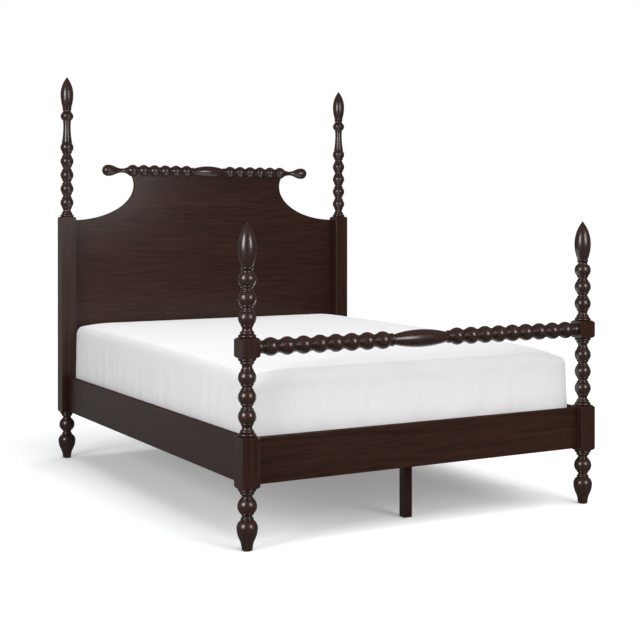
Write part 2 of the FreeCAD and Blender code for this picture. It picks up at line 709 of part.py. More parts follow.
def head_rail():
    rail = cross_rail(HEAD_RAIL_FRONT_Y, RAIL_BOTTOM, HEAD_RAIL_HEIGHT)
    groove_y = spread(PANEL_MIDDLE_Y, PANEL_THICKNESS + 2 * PANEL_FIT)
    groove_z = HEAD_RAIL_TOP - PANEL_GROOVE_DEPTH, HEAD_RAIL_TOP
    rail = rail.cut(box((-POST_INNER_X, POST_INNER_X), groove_y, groove_z))
    return drilled(rail, hanger_screws("head", FASTENER_FIT))


def foot_rail():
    rail = cross_rail(FOOT_RAIL_OUTER_Y, RAIL_BOTTOM, RAIL_HEIGHT)
    return drilled(rail, hanger_screws("foot", FASTENER_FIT))


def side_rail(side):
    """Side rail between the posts, recessed at both ends for the hook plates."""
    length = FOOT_Y + POST_HALF, HEAD_Y - POST_HALF
    rail = box((side * RAIL_INNER_X, side * RAIL_OUTER_X), length, (RAIL_BOTTOM, RAIL_TOP))
    rail = soften(rail, RAIL_ARRIS_RADIUS, Vector(0, 1, 0))
    for place in rail_ends(side):
        rail = rail.cut(place(rail_hook_recess()))
    return drilled(rail, ledger_screws(side, FASTENER_FIT))


# Hooks that hold the side rails to the posts


def rail_ends(side):
    """Placers that take a fitting made at a rail end facing +Y to the two ends of a rail."""
    def at_head(shape):
        return moved(shape, side * RAIL_MIDDLE_X, HEAD_Y - POST_HALF, RAIL_MIDDLE_Z)

    def at_foot(shape):
        return moved(turned(shape, UP, 180), side * RAIL_MIDDLE_X, FOOT_Y + POST_HALF, RAIL_MIDDLE_Z)

    return at_head, at_foot


def hook_heights():
    """Tops of the two hooks, about the middle of the rail's height."""
    return HOOK_SPACING / 2 + HOOK_NECK_HEIGHT / 2, HOOK_NECK_HEIGHT / 2 - HOOK_SPACING / 2


def plate_screw_heights():
    reach = HOOK_PLATE_HEIGHT / 2 - 2 * SCREW_HEAD_RADIUS
    return -reach, reach


def screw_along_y(direction, fit=0.0):
    """Short screw that points along +Y or -Y, its head flush at the origin."""
    return turned(screw(SHORT_SCREW_LENGTH, fit), Vector(1, 0, 0), 90 * direction)


def hook_plate(fit=0.0):
    return box(
        spread(0, HOOK_PLATE_WIDTH + 2 * fit),
        (-HOOK_PLATE_THICKNESS, 0),
        spread(0, HOOK_PLATE_HEIGHT + 2 * fit),
    )


def rail_hook():
    """Plate in the rail's end with two hooks that drop behind the post's plate."""
    shape = hook_plate()
    behind = HOOK_PLATE_THICKNESS + HOOK_FIT
    for top in hook_heights():
        neck = top - HOOK_NECK_HEIGHT
        corners = [
            (0, top), (HOOK_REACH, top), (HOOK_REACH, neck - HOOK_DROP),
            (behind, neck - HOOK_DROP), (behind, neck), (0, neck), (0, top),
        ]
        points = [Vector(-HOOK_THICKNESS / 2, y, z) for y, z in corners]
        hook = Part.Face(Part.makePolygon(points)).extrude(Vector(HOOK_THICKNESS, 0, 0))
        shape = shape.fuse(hook)
    return drilled(shape.removeSplitter(), rail_plate_screws(FASTENER_FIT))


def rail_hook_recess():
    return hook_plate(TENON_FIT).fuse(Part.makeCompound(rail_plate_screws(FASTENER_FIT)))


def rail_plate_screws(fit=0.0):
    return [moved(screw_along_y(-1, fit), z=height) for height in plate_screw_heights()]


def post_plate():
    """Slotted plate let into the post; each slot takes a hook and carries its neck."""
    shape = moved(hook_plate(), y=HOOK_PLATE_THICKNESS)
    slot_x = spread(0, HOOK_THICKNESS + 2 * HOOK_FIT)
    for top in hook_heights():
        slot_z = top - HOOK_NECK_HEIGHT, top + HOOK_DROP
        shape = shape.cut(box(slot_x, (0, HOOK_PLATE_THICKNESS), slot_z))
    return drilled(shape, post_plate_screws(FASTENER_FIT))


def post_plate_screws(fit=0.0):
    return [moved(screw_along_y(1, fit), z=height) for height in plate_screw_heights()]


def post_hook_recess():
    """Recess for a post's plate, with a pocket behind each slot and its screw holes."""
    shape = moved(hook_plate(TENON_FIT), y=HOOK_PLATE_THICKNESS)
    pocket_x = spread(0, HOOK_THICKNESS + 4 * HOOK_FIT)
    pocket_y = HOOK_PLATE_THICKNESS, HOOK_REACH + HOOK_FIT
    for top in hook_heights():
        pocket_z = top - HOOK_NECK_HEIGHT - HOOK_DROP - HOOK_FIT, top + HOOK_DROP
        shape = shape.fuse(box(pocket_x, pocket_y, pocket_z))
    return shape.fuse(Part.makeCompound(post_plate_screws(FASTENER_FIT)))


# Ledgers and slats


def slat_places():
    """Middles of the slats along Y, evenly spaced between the posts."""
    first = FOOT_Y + POST_HALF + FIRST_SLAT_OFFSET
    last = HEAD_Y - POST_HALF - FIRST_SLAT_OFFSET
    return [first + (last - first) * number / (SLAT_COUNT - 1) for number in range(SLAT_COUNT)]


def slat_screws(y, fit=0.0):
    """Screws at the two ends of one slat."""
    x = RAIL_INNER_X - LEDGER_THICKNESS / 2
    return [moved(screw(SCREW_LENGTH, fit), side * x, y, SLAT_TOP) for side in SIDES.values()]


def slat(y):
    half_length = RAIL_INNER_X - SLAT_END_GAP
    shape = box((-half_length, half_length), spread(y, SLAT_WIDTH), (LEDGER_TOP, SLAT_TOP))
    shape = soften(shape, SLAT_ARRIS_RADIUS, Vector(1, 0, 0))
    return drilled(shape, slat_screws(y, FASTENER_FIT))


def ledger_ends():
    return FOOT_Y + POST_HALF + LEDGER_END_GAP, HEAD_Y - POST_HALF - LEDGER_END_GAP


def ledger_screws(side, fit=0.0):
    """Screws through a ledger into its rail."""
    first, last = ledger_ends()
    pitch = (last - first) / LEDGER_SCREWS
    shape = turned(screw(SCREW_LENGTH, fit), Vector(0, 1, 0), -90 * side)
    height = LEDGER_TOP - LEDGER_HEIGHT * 2 / 3
    x = side * (RAIL_INNER_X - LEDGER_THICKNESS)
    return [moved(shape, x, first + pitch * (n + 0.5), height) for n in range(LEDGER_SCREWS)]


def ledger(side):
    thick = side * RAIL_INNER_X, side * (RAIL_INNER_X - LEDGER_THICKNESS)
    shape = box(thick, ledger_ends(), (LEDGER_TOP - LEDGER_HEIGHT, LEDGER_TOP))
    shape = drilled(shape, ledger_screws(side, FASTENER_FIT))
    for y in slat_places():
        shape = drilled(shape, slat_screws(y, FASTENER_FIT))
    return shape


# Centre beam, hangers, legs and levellers


def beam_ends():
    return FOOT_RAIL_INNER_Y + HANGER_THICKNESS, HEAD_RAIL_FRONT_Y - HANGER_THICKNESS


def leg_places():
    """Middles of the legs along Y."""
    first = FOOT_Y + LEG_END_OFFSET
    last = HEAD_Y - LEG_END_OFFSET
    return {"foot": first, "middle": (first + last) / 2, "head": last}


def leg_bolt(fit=0.0):
    """Bolt down through the beam into a leg, its head sunk in the beam's top."""
    head = cylinder(LEG_BOLT_HEAD_RADIUS + fit, LEDGER_TOP - LEG_BOLT_HEAD_LENGTH, LEDGER_TOP)
    return cylinder(LEG_BOLT_RADIUS + fit, BEAM_BOTTOM - LEG_BOLT_BITE - fit, LEDGER_TOP).fuse(head)


def leg_bolts(fit=0.0):
    return [moved(leg_bolt(fit).removeSplitter(), y=y) for y in leg_places().values()]


def centre_beam():
    shape = box(spread(0, BEAM_WIDTH), beam_ends(), (BEAM_BOTTOM, LEDGER_TOP))
    return drilled(shape, leg_bolts(FASTENER_FIT))


def hanger_screw_places():
    x = BEAM_WIDTH / 2 + HANGER_FIT + HANGER_THICKNESS + HANGER_EAR_WIDTH / 2
    z = BEAM_BOTTOM + HANGER_CHEEK_HEIGHT / 2
    return [Vector(-x, 0, z), Vector(x, 0, z)]


def hanger_screws(end, fit=0.0):
    """Screws through a hanger's ears into the rail at the foot or the head."""
    y, direction = {
        "foot": (FOOT_RAIL_INNER_Y + HANGER_THICKNESS, -1),
        "head": (HEAD_RAIL_FRONT_Y - HANGER_THICKNESS, 1),
    }[end]
    shape = screw_along_y(direction, fit)
    return [moved(shape, place.x, y, place.z) for place in hanger_screw_places()]


def beam_hanger(end):
    """Steel saddle under one end of the beam: cheeks, floor and a screwed back plate."""
    y, direction = {
        "foot": (FOOT_RAIL_INNER_Y, 1),
        "head": (HEAD_RAIL_FRONT_Y, -1),
    }[end]
    inner = BEAM_WIDTH / 2 + HANGER_FIT
    outer = inner + HANGER_THICKNESS
    floor = BEAM_BOTTOM - HANGER_THICKNESS
    top = BEAM_BOTTOM + HANGER_CHEEK_HEIGHT
    back = y, y + direction * HANGER_THICKNESS
    reach = y, y + direction * HANGER_REACH
    shape = box((-outer, outer), reach, (floor, top)).cut(box((-inner, inner), reach, (BEAM_BOTTOM, top)))
    ears = outer + HANGER_EAR_WIDTH
    shape = shape.fuse(box((-ears, ears), back, (floor - HANGER_DROP, top))).removeSplitter()
    return drilled(shape, hanger_screws(end, FASTENER_FIT))


def leveller_rest():
    """Height of the recess in a leg that the leveller's pad rests against."""
    return LEVELLER_PAD_THICKNESS


def centre_leg(y):
    """Square leg from the beam to the floor, bored for its bolt, insert and leveller."""
    side = spread(0, LEG_SIDE)
    shape = box(side, side, (LEG_FLOOR_GAP, BEAM_BOTTOM))
    shape = soften(shape, POST_ARRIS_RADIUS, UP)
    shape = shape.cut(cylinder(LEVELLER_PAD_RADIUS + LEVELLER_PAD_CLEARANCE, 0, leveller_rest()))
    shape = shape.cut(cylinder(INSERT_RADIUS, 0, leveller_rest() + INSERT_LENGTH))
    stem_top = leveller_rest() + LEVELLER_STEM_LENGTH + LEVELLER_PAD_CLEARANCE
    shape = shape.cut(cylinder(LEVELLER_STEM_RADIUS + LEVELLER_PAD_CLEARANCE, 0, stem_top))
    return moved(shape.cut(leg_bolt(FASTENER_FIT)), y=y)


def leveller_insert():
    """Threaded insert in the leg's foot, as a plain sleeve."""
    bottom = leveller_rest()
    sleeve = cylinder(INSERT_RADIUS - FASTENER_FIT, bottom, bottom + INSERT_LENGTH)
    return sleeve.cut(cylinder(LEVELLER_STEM_RADIUS + LEVELLER_FIT, bottom, bottom + INSERT_LENGTH))


def leveller():
    """Screw-in pad that stands on the floor, wound right in."""
    outline = Turning(0, LEVELLER_PAD_RADIUS - LEVELLER_PAD_CLEARANCE)
    outline.line(LEVELLER_PAD_RADIUS, LEVELLER_PAD_CLEARANCE)
    outline.line(LEVELLER_PAD_RADIUS, LEVELLER_PAD_THICKNESS - LEVELLER_PAD_CLEARANCE)
    outline.step(LEVELLER_STEM_RADIUS)
    outline.line(LEVELLER_STEM_RADIUS, LEVELLER_STEM_LENGTH)
    return outline.solid()


# Mattress and fitted sheet


def rounded_rectangle(inset, height):
    """Level outline of the mattress, drawn in from its full size by an inset."""
    x = MATTRESS_WIDTH / 2 - inset
    y = MATTRESS_LENGTH / 2 - inset
    radius = MATTRESS_CORNER_RADIUS
    edges = []
    corners = [(1, 1), (-1, 1), (-1, -1), (1, -1)]
    for number, (right, back) in enumerate(corners):
        centre = Vector(right * (x - radius), back * (y - radius), height)
        turn = math.pi / 2 * number
        points = []
        for angle in (turn, turn + math.pi / 4, turn + math.pi / 2):
            points.append(centre + Vector(math.cos(angle), math.sin(angle), 0) * radius)
        if edges:
            edges.append(Part.makeLine(edges[-1].Vertexes[-1].Point, points[0]))
        edges.append(Part.Arc(*points).toShape())
    edges.append(Part.makeLine(edges[-1].Vertexes[-1].Point, edges[0].Vertexes[0].Point))
    return Part.Wire(edges)


def mattress_form(grow):
    """Crowned block with rounded edges and drawn-in sides, swollen by `grow` all round."""
    bottom = SLAT_TOP + SHEET_THICKNESS
    top = bottom + MATTRESS_EDGE_HEIGHT
    half_way = 1 - math.sqrt(0.5)
    lower = MATTRESS_LOWER_ROUND
    upper = MATTRESS_UPPER_ROUND
    lower_edge = [
        (lower, bottom - grow),
        (lower * half_way, bottom + lower * half_way - grow / 2),
        (0, bottom + lower),
    ]
    side = [(0, bottom + lower), (MATTRESS_WAIST, (bottom + top) / 2), (0, top - upper)]
    upper_edge = [
        (0, top - upper),
        (upper * half_way, top - upper * half_way + grow / 2),
        (upper, top + grow),
    ]
    crown = [
        (upper, top + grow),
        (upper + CROWN_SHOULDER, top + grow + CROWN_SHOULDER_RISE),
        (upper + CROWN_REACH, top + grow + MATTRESS_CROWN),
    ]
    bands = []
    for levels in (lower_edge, side, upper_edge, crown):
        sections = [rounded_rectangle(inset - grow, height) for inset, height in levels]
        bands.append(Part.makeLoft(sections, True, False))
    return moved(bands[0].multiFuse(bands[1:]), y=MATTRESS_Y)


def fitted_sheet(mattress):
    """Sheet over the top and sides, with its hem turned under the mattress."""
    half_x = MATTRESS_WIDTH / 2 - SHEET_HEM_WIDTH
    half_y = MATTRESS_LENGTH / 2 - SHEET_HEM_WIDTH
    height = SLAT_TOP - SHEET_THICKNESS, SLAT_TOP + SHEET_THICKNESS
    opening = box((-half_x, half_x), (-half_y, half_y), height)
    return mattress_form(SHEET_THICKNESS).cut(mattress).cut(moved(opening, y=MATTRESS_Y))


# Writing the pieces


def export(name, shape):
    shape.exportStep("parts/%s.step" % name)


def export_group(name, shapes):
    export(name, Part.makeCompound(shapes))


def export_pair(name, right_hand):
    """Right-hand piece and its mirror image."""
    export(name + "_right", right_hand)
    export(name + "_left", mirrored_x(right_hand))


def export_posts():
    top, top_length = head_post_top()
    finial_heights = {"foot": FOOT_POST_TOP, "head": HEAD_POST_HEIGHT + top_length}
    export_pair("footboard_post", moved(foot_post(), POST_X, FOOT_Y))
    export_pair("headboard_post", moved(head_post(), POST_X, HEAD_Y))
    export_pair("headboard_post_top", moved(top, POST_X, HEAD_Y, HEAD_POST_HEIGHT))
    foot_finial = finial(FOOT_FINIAL_RADIUS, FOOT_FINIAL_POINT_LENGTH)
    head_finial = finial(HEAD_FINIAL_RADIUS, HEAD_FINIAL_POINT_LENGTH)
    export_pair("footboard_finial", moved(foot_finial, POST_X, FOOT_Y, finial_heights["foot"]))
    export_pair("headboard_finial", moved(head_finial, POST_X, HEAD_Y, finial_heights["head"]))
    finial_pin = dowel(FINIAL_DOWEL_RADIUS, FINIAL_DOWEL_LENGTH)
    post_pin = dowel(POST_TOP_DOWEL_RADIUS, POST_TOP_DOWEL_LENGTH)
    finial_pins = []
    post_pins = []
    glides = []
    for side in SIDES.values():
        finial_pins.append(moved(finial_pin, side * POST_X, FOOT_Y, finial_heights["foot"]))
        finial_pins.append(moved(finial_pin, side * POST_X, HEAD_Y, finial_heights["head"]))
        post_pins.append(moved(post_pin, side * POST_X, HEAD_Y, HEAD_POST_HEIGHT))
        glides.append(moved(post_glide(), side * POST_X, FOOT_Y))
        glides.append(moved(post_glide(), side * POST_X, HEAD_Y))
    export_group("finial_dowels", finial_pins)
    export_group("post_top_dowels", post_pins)
    export_group("post_glides", glides)


def export_headboard():
    export("headboard_panel", headboard_panel())
    export("crest_rail", crest_rail())
    export("headboard_bottom_rail", head_rail())
    pin = dowel(CREST_DOWEL_RADIUS, CREST_DOWEL_LENGTH)
    places = crest_dowel_places()
    export_group("crest_dowels", [moved(pin, x, PANEL_MIDDLE_Y, crest_dowel_height()) for x in places])


def export_footboard():
    export("footboard_spindle_rail", spindle_rail())
    export("footboard_bottom_rail", foot_rail())


def export_side_rails():
    hooks = []
    plates = []
    screws = []
    for name, side in SIDES.items():
        export("side_rail_" + name, side_rail(side))
        export("ledger_" + name, ledger(side))
        for place in rail_ends(side):
            hooks.append(place(rail_hook()))
            plates.append(place(post_plate()))
            screws += [place(shape) for shape in rail_plate_screws() + post_plate_screws()]
    export_group("rail_hooks", hooks)
    export_group("post_hook_plates", plates)
    export_group("hook_plate_screws", screws)
    export_group("ledger_screws", ledger_screws(-1) + ledger_screws(1))


def export_slats():
    screws = []
    for number, y in enumerate(slat_places(), start=1):
        export("slat_%02d" % number, slat(y))
        screws += slat_screws(y)
    export_group("slat_screws", screws)


def export_centre_support():
    export("centre_beam", centre_beam())
    inserts = []
    for name, y in leg_places().items():
        export("centre_leg_" + name, centre_leg(y))
        export("leveller_" + name, moved(leveller(), y=y))
        inserts.append(moved(leveller_insert(), y=y))
    export_group("leveller_inserts", inserts)
    export_group("leg_bolts", leg_bolts())
    for end in ("foot", "head"):
        export("beam_hanger_" + end, beam_hanger(end))
    export_group("hanger_screws", hanger_screws("foot") + hanger_screws("head"))


def export_bedding():
    mattress = mattress_form(0)
    export("mattress", mattress)
    export("fitted_sheet", fitted_sheet(mattress))


os.makedirs("parts", exist_ok=True)
export_posts()
export_headboard()
export_footboard()
export_side_rails()
export_slats()
export_centre_support()
export_bedding()
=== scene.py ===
import math

import bmesh
import bpy
from bpy.props import FloatProperty, FloatVectorProperty, IntProperty, PointerProperty
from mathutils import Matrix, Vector, noise


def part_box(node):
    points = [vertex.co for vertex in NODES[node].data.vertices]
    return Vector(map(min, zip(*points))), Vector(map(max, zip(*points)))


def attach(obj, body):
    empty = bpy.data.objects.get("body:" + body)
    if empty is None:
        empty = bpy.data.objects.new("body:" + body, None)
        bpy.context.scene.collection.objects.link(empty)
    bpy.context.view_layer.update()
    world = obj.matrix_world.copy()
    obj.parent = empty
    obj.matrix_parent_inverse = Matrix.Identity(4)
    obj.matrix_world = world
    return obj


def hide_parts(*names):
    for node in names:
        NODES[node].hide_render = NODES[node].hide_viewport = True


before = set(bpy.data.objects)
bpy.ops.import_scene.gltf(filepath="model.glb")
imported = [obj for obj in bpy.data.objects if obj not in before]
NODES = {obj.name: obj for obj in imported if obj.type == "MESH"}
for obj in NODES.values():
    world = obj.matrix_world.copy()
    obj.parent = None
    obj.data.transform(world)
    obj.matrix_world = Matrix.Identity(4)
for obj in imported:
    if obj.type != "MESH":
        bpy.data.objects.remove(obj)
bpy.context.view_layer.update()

bl_info = {
    "name": "Spindle Bed",
    "version": (1, 0, 0),
    "blender": (4, 5, 0),
    "location": "3D View > Sidebar > Spindle Bed",
    "description": "Finishes a turned wooden bed, makes it up with a sheeted mattress and sets its stage",
    "category": "Object",
}

MATTRESS_LOW, MATTRESS_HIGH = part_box("mattress")
SHEET_LOW, SHEET_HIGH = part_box("fitted_sheet")

# Shorter than any distance that matters, in metres
HAIR = 1e-6
# The mattress's squares are this much larger than the sheet's
MATTRESS_COARSENESS = 1.2
# Smooth steps on a part of the normal: upwards for level tops, and lengthwise, squared, for flat ends
LEVEL_TOP = (0.9, 0.98)
FLAT_END = (0.996, 0.9995)
# What dust and bedding do to lacquer on a level top: roughness that they add, and share of gloss that goes
DULLED_ROUGHNESS = 0.5
DULLED_COAT = 0.95

# Which of the frame's nodes take which finish, by how their names begin
UPRIGHT_WOOD = ("headboard_post", "headboard_finial", "footboard_post", "footboard_finial", "centre_leg")
SPINDLE_WOOD = ("crest_rail", "footboard_spindle_rail")
BOARD_WOOD = ("headboard_panel", "headboard_bottom_rail", "footboard_bottom_rail")
SIDE_WOOD = ("side_rail",)
SLAT_WOOD = ("slat_0", "slat_1")
LONG_PALE_WOOD = ("ledger_left", "ledger_right", "centre_beam")
DOWEL_WOOD = ("finial_dowels", "post_top_dowels", "crest_dowels")
STEEL = ("beam_hanger", "rail_hooks", "post_hook_plates", "leg_bolts", "slat_screws", "ledger_screws",
         "hanger_screws", "hook_plate_screws", "leveller_inserts")
GLIDES = ("post_glides", "leveller_foot", "leveller_middle", "leveller_head")


# Settings that a user would change


class DarkWoodSettings(bpy.types.PropertyGroup):
    """Espresso stain and satin lacquer of the posts, rails and headboard."""

    deep_colour: FloatVectorProperty(
        name="Deep stain", description="Colour of the stain in the dark grain", subtype="COLOR",
        size=3, min=0.0, max=1.0, default=(0.0150, 0.0062, 0.0046))
    warm_colour: FloatVectorProperty(
        name="Warm stain", description="Colour of the stain where the wood shows through", subtype="COLOR",
        size=3, min=0.0, max=1.0, default=(0.0485, 0.0184, 0.0118))
    # Lighter colour on the arrises: partly stain thinned by handling, partly a painted highlight along the
    # edges
    rubbed_and_highlight_colour: FloatVectorProperty(
        name="Rubbed edge", description="Colour of the arrises, where handling has thinned the stain",
        subtype="COLOR", size=3, min=0.0, max=1.0, default=(0.085, 0.045, 0.034))
    stain_roughness: FloatProperty(
        name="Stain roughness", description="Roughness of the stained wood under the lacquer",
        subtype="FACTOR", min=0.05, max=1.0, default=0.33)
    turned_lacquer: FloatProperty(
        name="Lacquer on turnings", description="Weight of the lacquer on posts, finials and spindles",
        subtype="FACTOR", min=0.0, max=1.0, default=0.9)
    board_lacquer: FloatProperty(
        name="Lacquer on boards",
        description="Weight of the lacquer on headboard, bottom rails, and fronts and backs of uprights",
        subtype="FACTOR", min=0.0, max=1.0, default=0.19)
    rail_lacquer: FloatProperty(
        name="Lacquer on side rails", description="Weight of the lacquer on the two side rails",
        subtype="FACTOR", min=0.0, max=1.0, default=0.92)
    turned_softness: FloatProperty(
        name="Softness on turnings", description="Roughness of the lacquer on posts, finials and spindles",
        subtype="FACTOR", min=0.0, max=1.0, default=0.25)
    board_softness: FloatProperty(
        name="Softness on boards",
        description="Roughness of the lacquer on the headboard and the bottom rails",
        subtype="FACTOR", min=0.0, max=1.0, default=0.18)
    rail_softness: FloatProperty(
        name="Softness on side rails", description="Roughness of the lacquer on the two side rails",
        subtype="FACTOR", min=0.0, max=1.0, default=0.40)
    edge_radius: FloatProperty(
        name="Eased edge", description="Radius to which sharp arrises are sanded", subtype="DISTANCE",
        unit="LENGTH", min=0.0, max=0.005, default=0.0014)


class PaleWoodSettings(bpy.types.PropertyGroup):
    """Unfinished softwood of the slats, ledgers and centre beam."""

    light_colour: FloatVectorProperty(
        name="Early wood", description="Colour of the soft pale wood between the rings", subtype="COLOR",
        size=3, min=0.0, max=1.0, default=(0.62, 0.45, 0.27))
    ring_colour: FloatVectorProperty(
        name="Late wood", description="Colour of the harder, darker rings", subtype="COLOR",
        size=3, min=0.0, max=1.0, default=(0.42, 0.25, 0.12))


class BeddingSettings(bpy.types.PropertyGroup):
    """Mattress cover and fitted sheet."""

    sheet_colour: FloatVectorProperty(
        name="Sheet", description="Colour of the cotton sheet", subtype="COLOR",
        size=3, min=0.0, max=1.0, default=(0.87, 0.865, 0.87))
    cover_colour: FloatVectorProperty(
        name="Mattress cover", description="Colour of the woven cover of the mattress", subtype="COLOR",
        size=3, min=0.0, max=1.0, default=(0.72, 0.70, 0.66))
    weave_pitch: FloatProperty(
        name="Thread spacing", description="Distance between two threads of the sheet", subtype="DISTANCE",
        unit="LENGTH", min=0.0001, max=0.01, precision=4, default=0.0009)
    mesh_step: FloatProperty(
        name="Cloth step", description="Size of the squares that the sheet is simulated with",
        subtype="DISTANCE", unit="LENGTH", min=0.005, max=0.1, default=0.0165)
    ease: FloatProperty(
        name="Ease", description="How far the mattress stays inside its sheet", subtype="DISTANCE",
        unit="LENGTH", min=0.001, max=0.02, default=0.004)
    hem_width: FloatProperty(
        name="Hem", description="Width of the sheet that is turned under the mattress", subtype="DISTANCE",
        unit="LENGTH", min=0.02, max=0.3, default=0.09)
    slack: FloatProperty(
        name="Slack", description="How much larger the sheet's sides are cut than the mattress's",
        subtype="FACTOR", min=0.0, max=0.2, default=0.008)
    pucker_depth: FloatProperty(
        name="Puckers", description="Depth of the fine upright puckers in the sheet's sides",
        subtype="DISTANCE", unit="LENGTH", min=0.0, max=0.01, precision=4, default=0.0013)
    most_drift: FloatProperty(
        name="Most drift", description="How far the cloth may settle from its cut shape", subtype="DISTANCE",
        unit="LENGTH", min=0.0, max=0.05, default=0.004)
    settle_frames: IntProperty(
        name="Settling steps", description="Steps that the cloth is given to settle", min=1, max=200,
        default=26)


class StageSettings(bpy.types.PropertyGroup):
    """Floor, lights and camera."""

    floor_colour: FloatVectorProperty(
        name="Floor", description="Colour of the studio floor as it is seen", subtype="COLOR",
        size=3, min=0.0, max=1.0, default=(0.90, 0.90, 0.90))
    bounce_colour: FloatVectorProperty(
        name="Floor bounce", description="Colour of the light that the floor throws back", subtype="COLOR",
        size=3, min=0.0, max=1.0, default=(0.45, 0.45, 0.45))
    floor_lift: FloatProperty(
        name="Floor lift", description="Light that the floor gives to the camera, to keep it pale",
        subtype="FACTOR", min=0.0, max=1.0, default=0.24)
    curtain_level: FloatProperty(
        name="Curtain", description="Brightness of the grey curtain that the lacquer mirrors",
        subtype="FACTOR", min=0.0, max=1.0, default=0.11)
    left_level: FloatProperty(
        name="Left curtain", description="Brightness of the curtain to the left of the bed and behind it",
        subtype="FACTOR", min=0.0, max=1.0, default=0.17)
    sky_strength: FloatProperty(
        name="Ambient light", description="Strength of the even light from all round", min=0.0, max=2.0,
        default=0.20)
    top_strength: FloatProperty(
        name="Top light", description="Strength of the broad light from above", min=0.0, max=10.0,
        default=2.3)
    box_strength: FloatProperty(
        name="Soft boxes", description="Power of a soft box, before each one's share", subtype="POWER",
        unit="POWER", min=0.0, max=2000.0, default=122.0)
    lens: FloatProperty(
        name="Lens", description="Focal length of the camera on a 36 mm frame", subtype="DISTANCE_CAMERA",
        unit="CAMERA", min=10.0, max=300.0, default=72.29)


# Shader building


class Value:
    """A shader socket that takes part in sums as a number does."""

    def __init__(self, finish, socket):
        self.finish = finish
        self.socket = socket

    def __add__(self, other):
        return self.finish.maths("ADD", self, other)

    def __radd__(self, other):
        return self.finish.maths("ADD", other, self)

    def __sub__(self, other):
        return self.finish.maths("SUBTRACT", self, other)

    def __rsub__(self, other):
        return self.finish.maths("SUBTRACT", other, self)

    def __mul__(self, other):
        return self.finish.maths("MULTIPLY", self, other)

    def __rmul__(self, other):
        return self.finish.maths("MULTIPLY", other, self)

    def __pow__(self, other):
        return self.finish.maths("POWER", self, other)

    def above(self, low, high):
        """0 below the low value, 1 above the high one and a smooth step between."""
        settings = {"interpolation_type": "SMOOTHSTEP"}
        return self.finish.node("ShaderNodeMapRange", settings, {
            "Value": self, "From Min": low, "From Max": high})


class Finish:
    """A node tree in the making, for a material or the world."""

    def __init__(self, owner):
        owner.use_nodes = True
        self.tree = owner.node_tree
        self.tree.nodes.clear()

    def node(self, kind, settings=None, sockets=None, output=0):
        """Add a node, set it up, feed its sockets and give one of its outputs."""
        made = self.tree.nodes.new(kind)
        for name, setting in (settings or {}).items():
            setattr(made, name, setting)
        for name, feed in (sockets or {}).items():
            socket = made.inputs[name]
            if isinstance(feed, Value):
                self.tree.links.new(feed.socket, socket)
            else:
                socket.default_value = feed
        return Value(self, made.outputs[output]) if len(made.outputs) else made

    def outputs(self, kind, names, sockets=None):
        """Add a node and give several of its outputs, by name."""
        made = self.node(kind, {}, sockets).socket.node
        return [Value(self, made.outputs[name]) for name in names]

    def maths(self, operation, first, second):
        return self.node("ShaderNodeMath", {"operation": operation}, {0: first, 1: second})

    def mix(self, factor, first, second):
        """Blend of two colours."""
        sockets = {0: factor}
        for place, colour in ((6, first), (7, second)):
            sockets[place] = colour if isinstance(colour, Value) else (*colour, 1.0)
        return self.node("ShaderNodeMix", {"data_type": "RGBA"}, sockets, output=2)

    def place(self):
        """Object coordinates."""
        return self.node("ShaderNodeTexCoord", output="Object")

    def normal(self):
        """The way that the surface faces, without bump."""
        return self.node("ShaderNodeNewGeometry", output="Normal")

    def split(self, vector):
        """The three parts of a vector."""
        return self.outputs("ShaderNodeSeparateXYZ", "XYZ", {0: vector})

    def stretched(self, point, scale):
        return self.node("ShaderNodeMapping", {}, {"Vector": point, "Scale": scale})

    def noise(self, point, scale, detail=3.0, roughness=0.5, distortion=0.0):
        return self.node("ShaderNodeTexNoise", {}, {
            "Vector": point, "Scale": scale, "Detail": detail, "Roughness": roughness,
            "Distortion": distortion})

    def bump(self, height, strength, distance, normal=None):
        sockets = {"Height": height, "Strength": strength, "Distance": distance}
        if normal:
            sockets["Normal"] = normal
        return self.node("ShaderNodeBump", {}, sockets)

    def surface(self, sockets):
        shader = self.node("ShaderNodeBsdfPrincipled", {}, sockets)
        self.node("ShaderNodeOutputMaterial", {}, {"Surface": shader})


def new_finish(name):
    material = bpy.data.materials.new(name)
    return material, Finish(material)


def along_grain(finish, grain):
    """Object coordinates with the grain along their X."""
    x, y, z = finish.split(finish.place())
    order = {"X": (x, y, z), "Y": (y, z, x), "Z": (z, x, y)}[grain]
    return finish.node("ShaderNodeCombineXYZ", {}, dict(zip("XYZ", order)))


def eased_edges(finish, radius):
    """Rounded normals at sharp arrises, and how near such an arris is."""
    rounded = finish.node("ShaderNodeBevel", {"samples": 6}, {"Radius": radius})
    flat = finish.normal()
    agreement = finish.node(
        "ShaderNodeVectorMath", {"operation": "DOT_PRODUCT"}, {0: rounded, 1: flat}, output="Value")
    return rounded, (1 - agreement).above(0.01, 0.22)


def facing_up(finish):
    """1 on level tops, where dust and bedding have dulled the lacquer, and 0 elsewhere."""
    upwards = finish.split(finish.normal())[2]
    return upwards.above(*LEVEL_TOP)


def facing_ends(finish):
    """1 on flat faces that look to the head or the foot of the bed, and 0 on turned and other faces."""
    lengthwise = finish.split(finish.normal())[1]
    return (lengthwise ** 2.0).above(*FLAT_END)


def darker(colour, share):
    """A colour taken down to a share of its brightness."""
    return [channel * share for channel in colour]


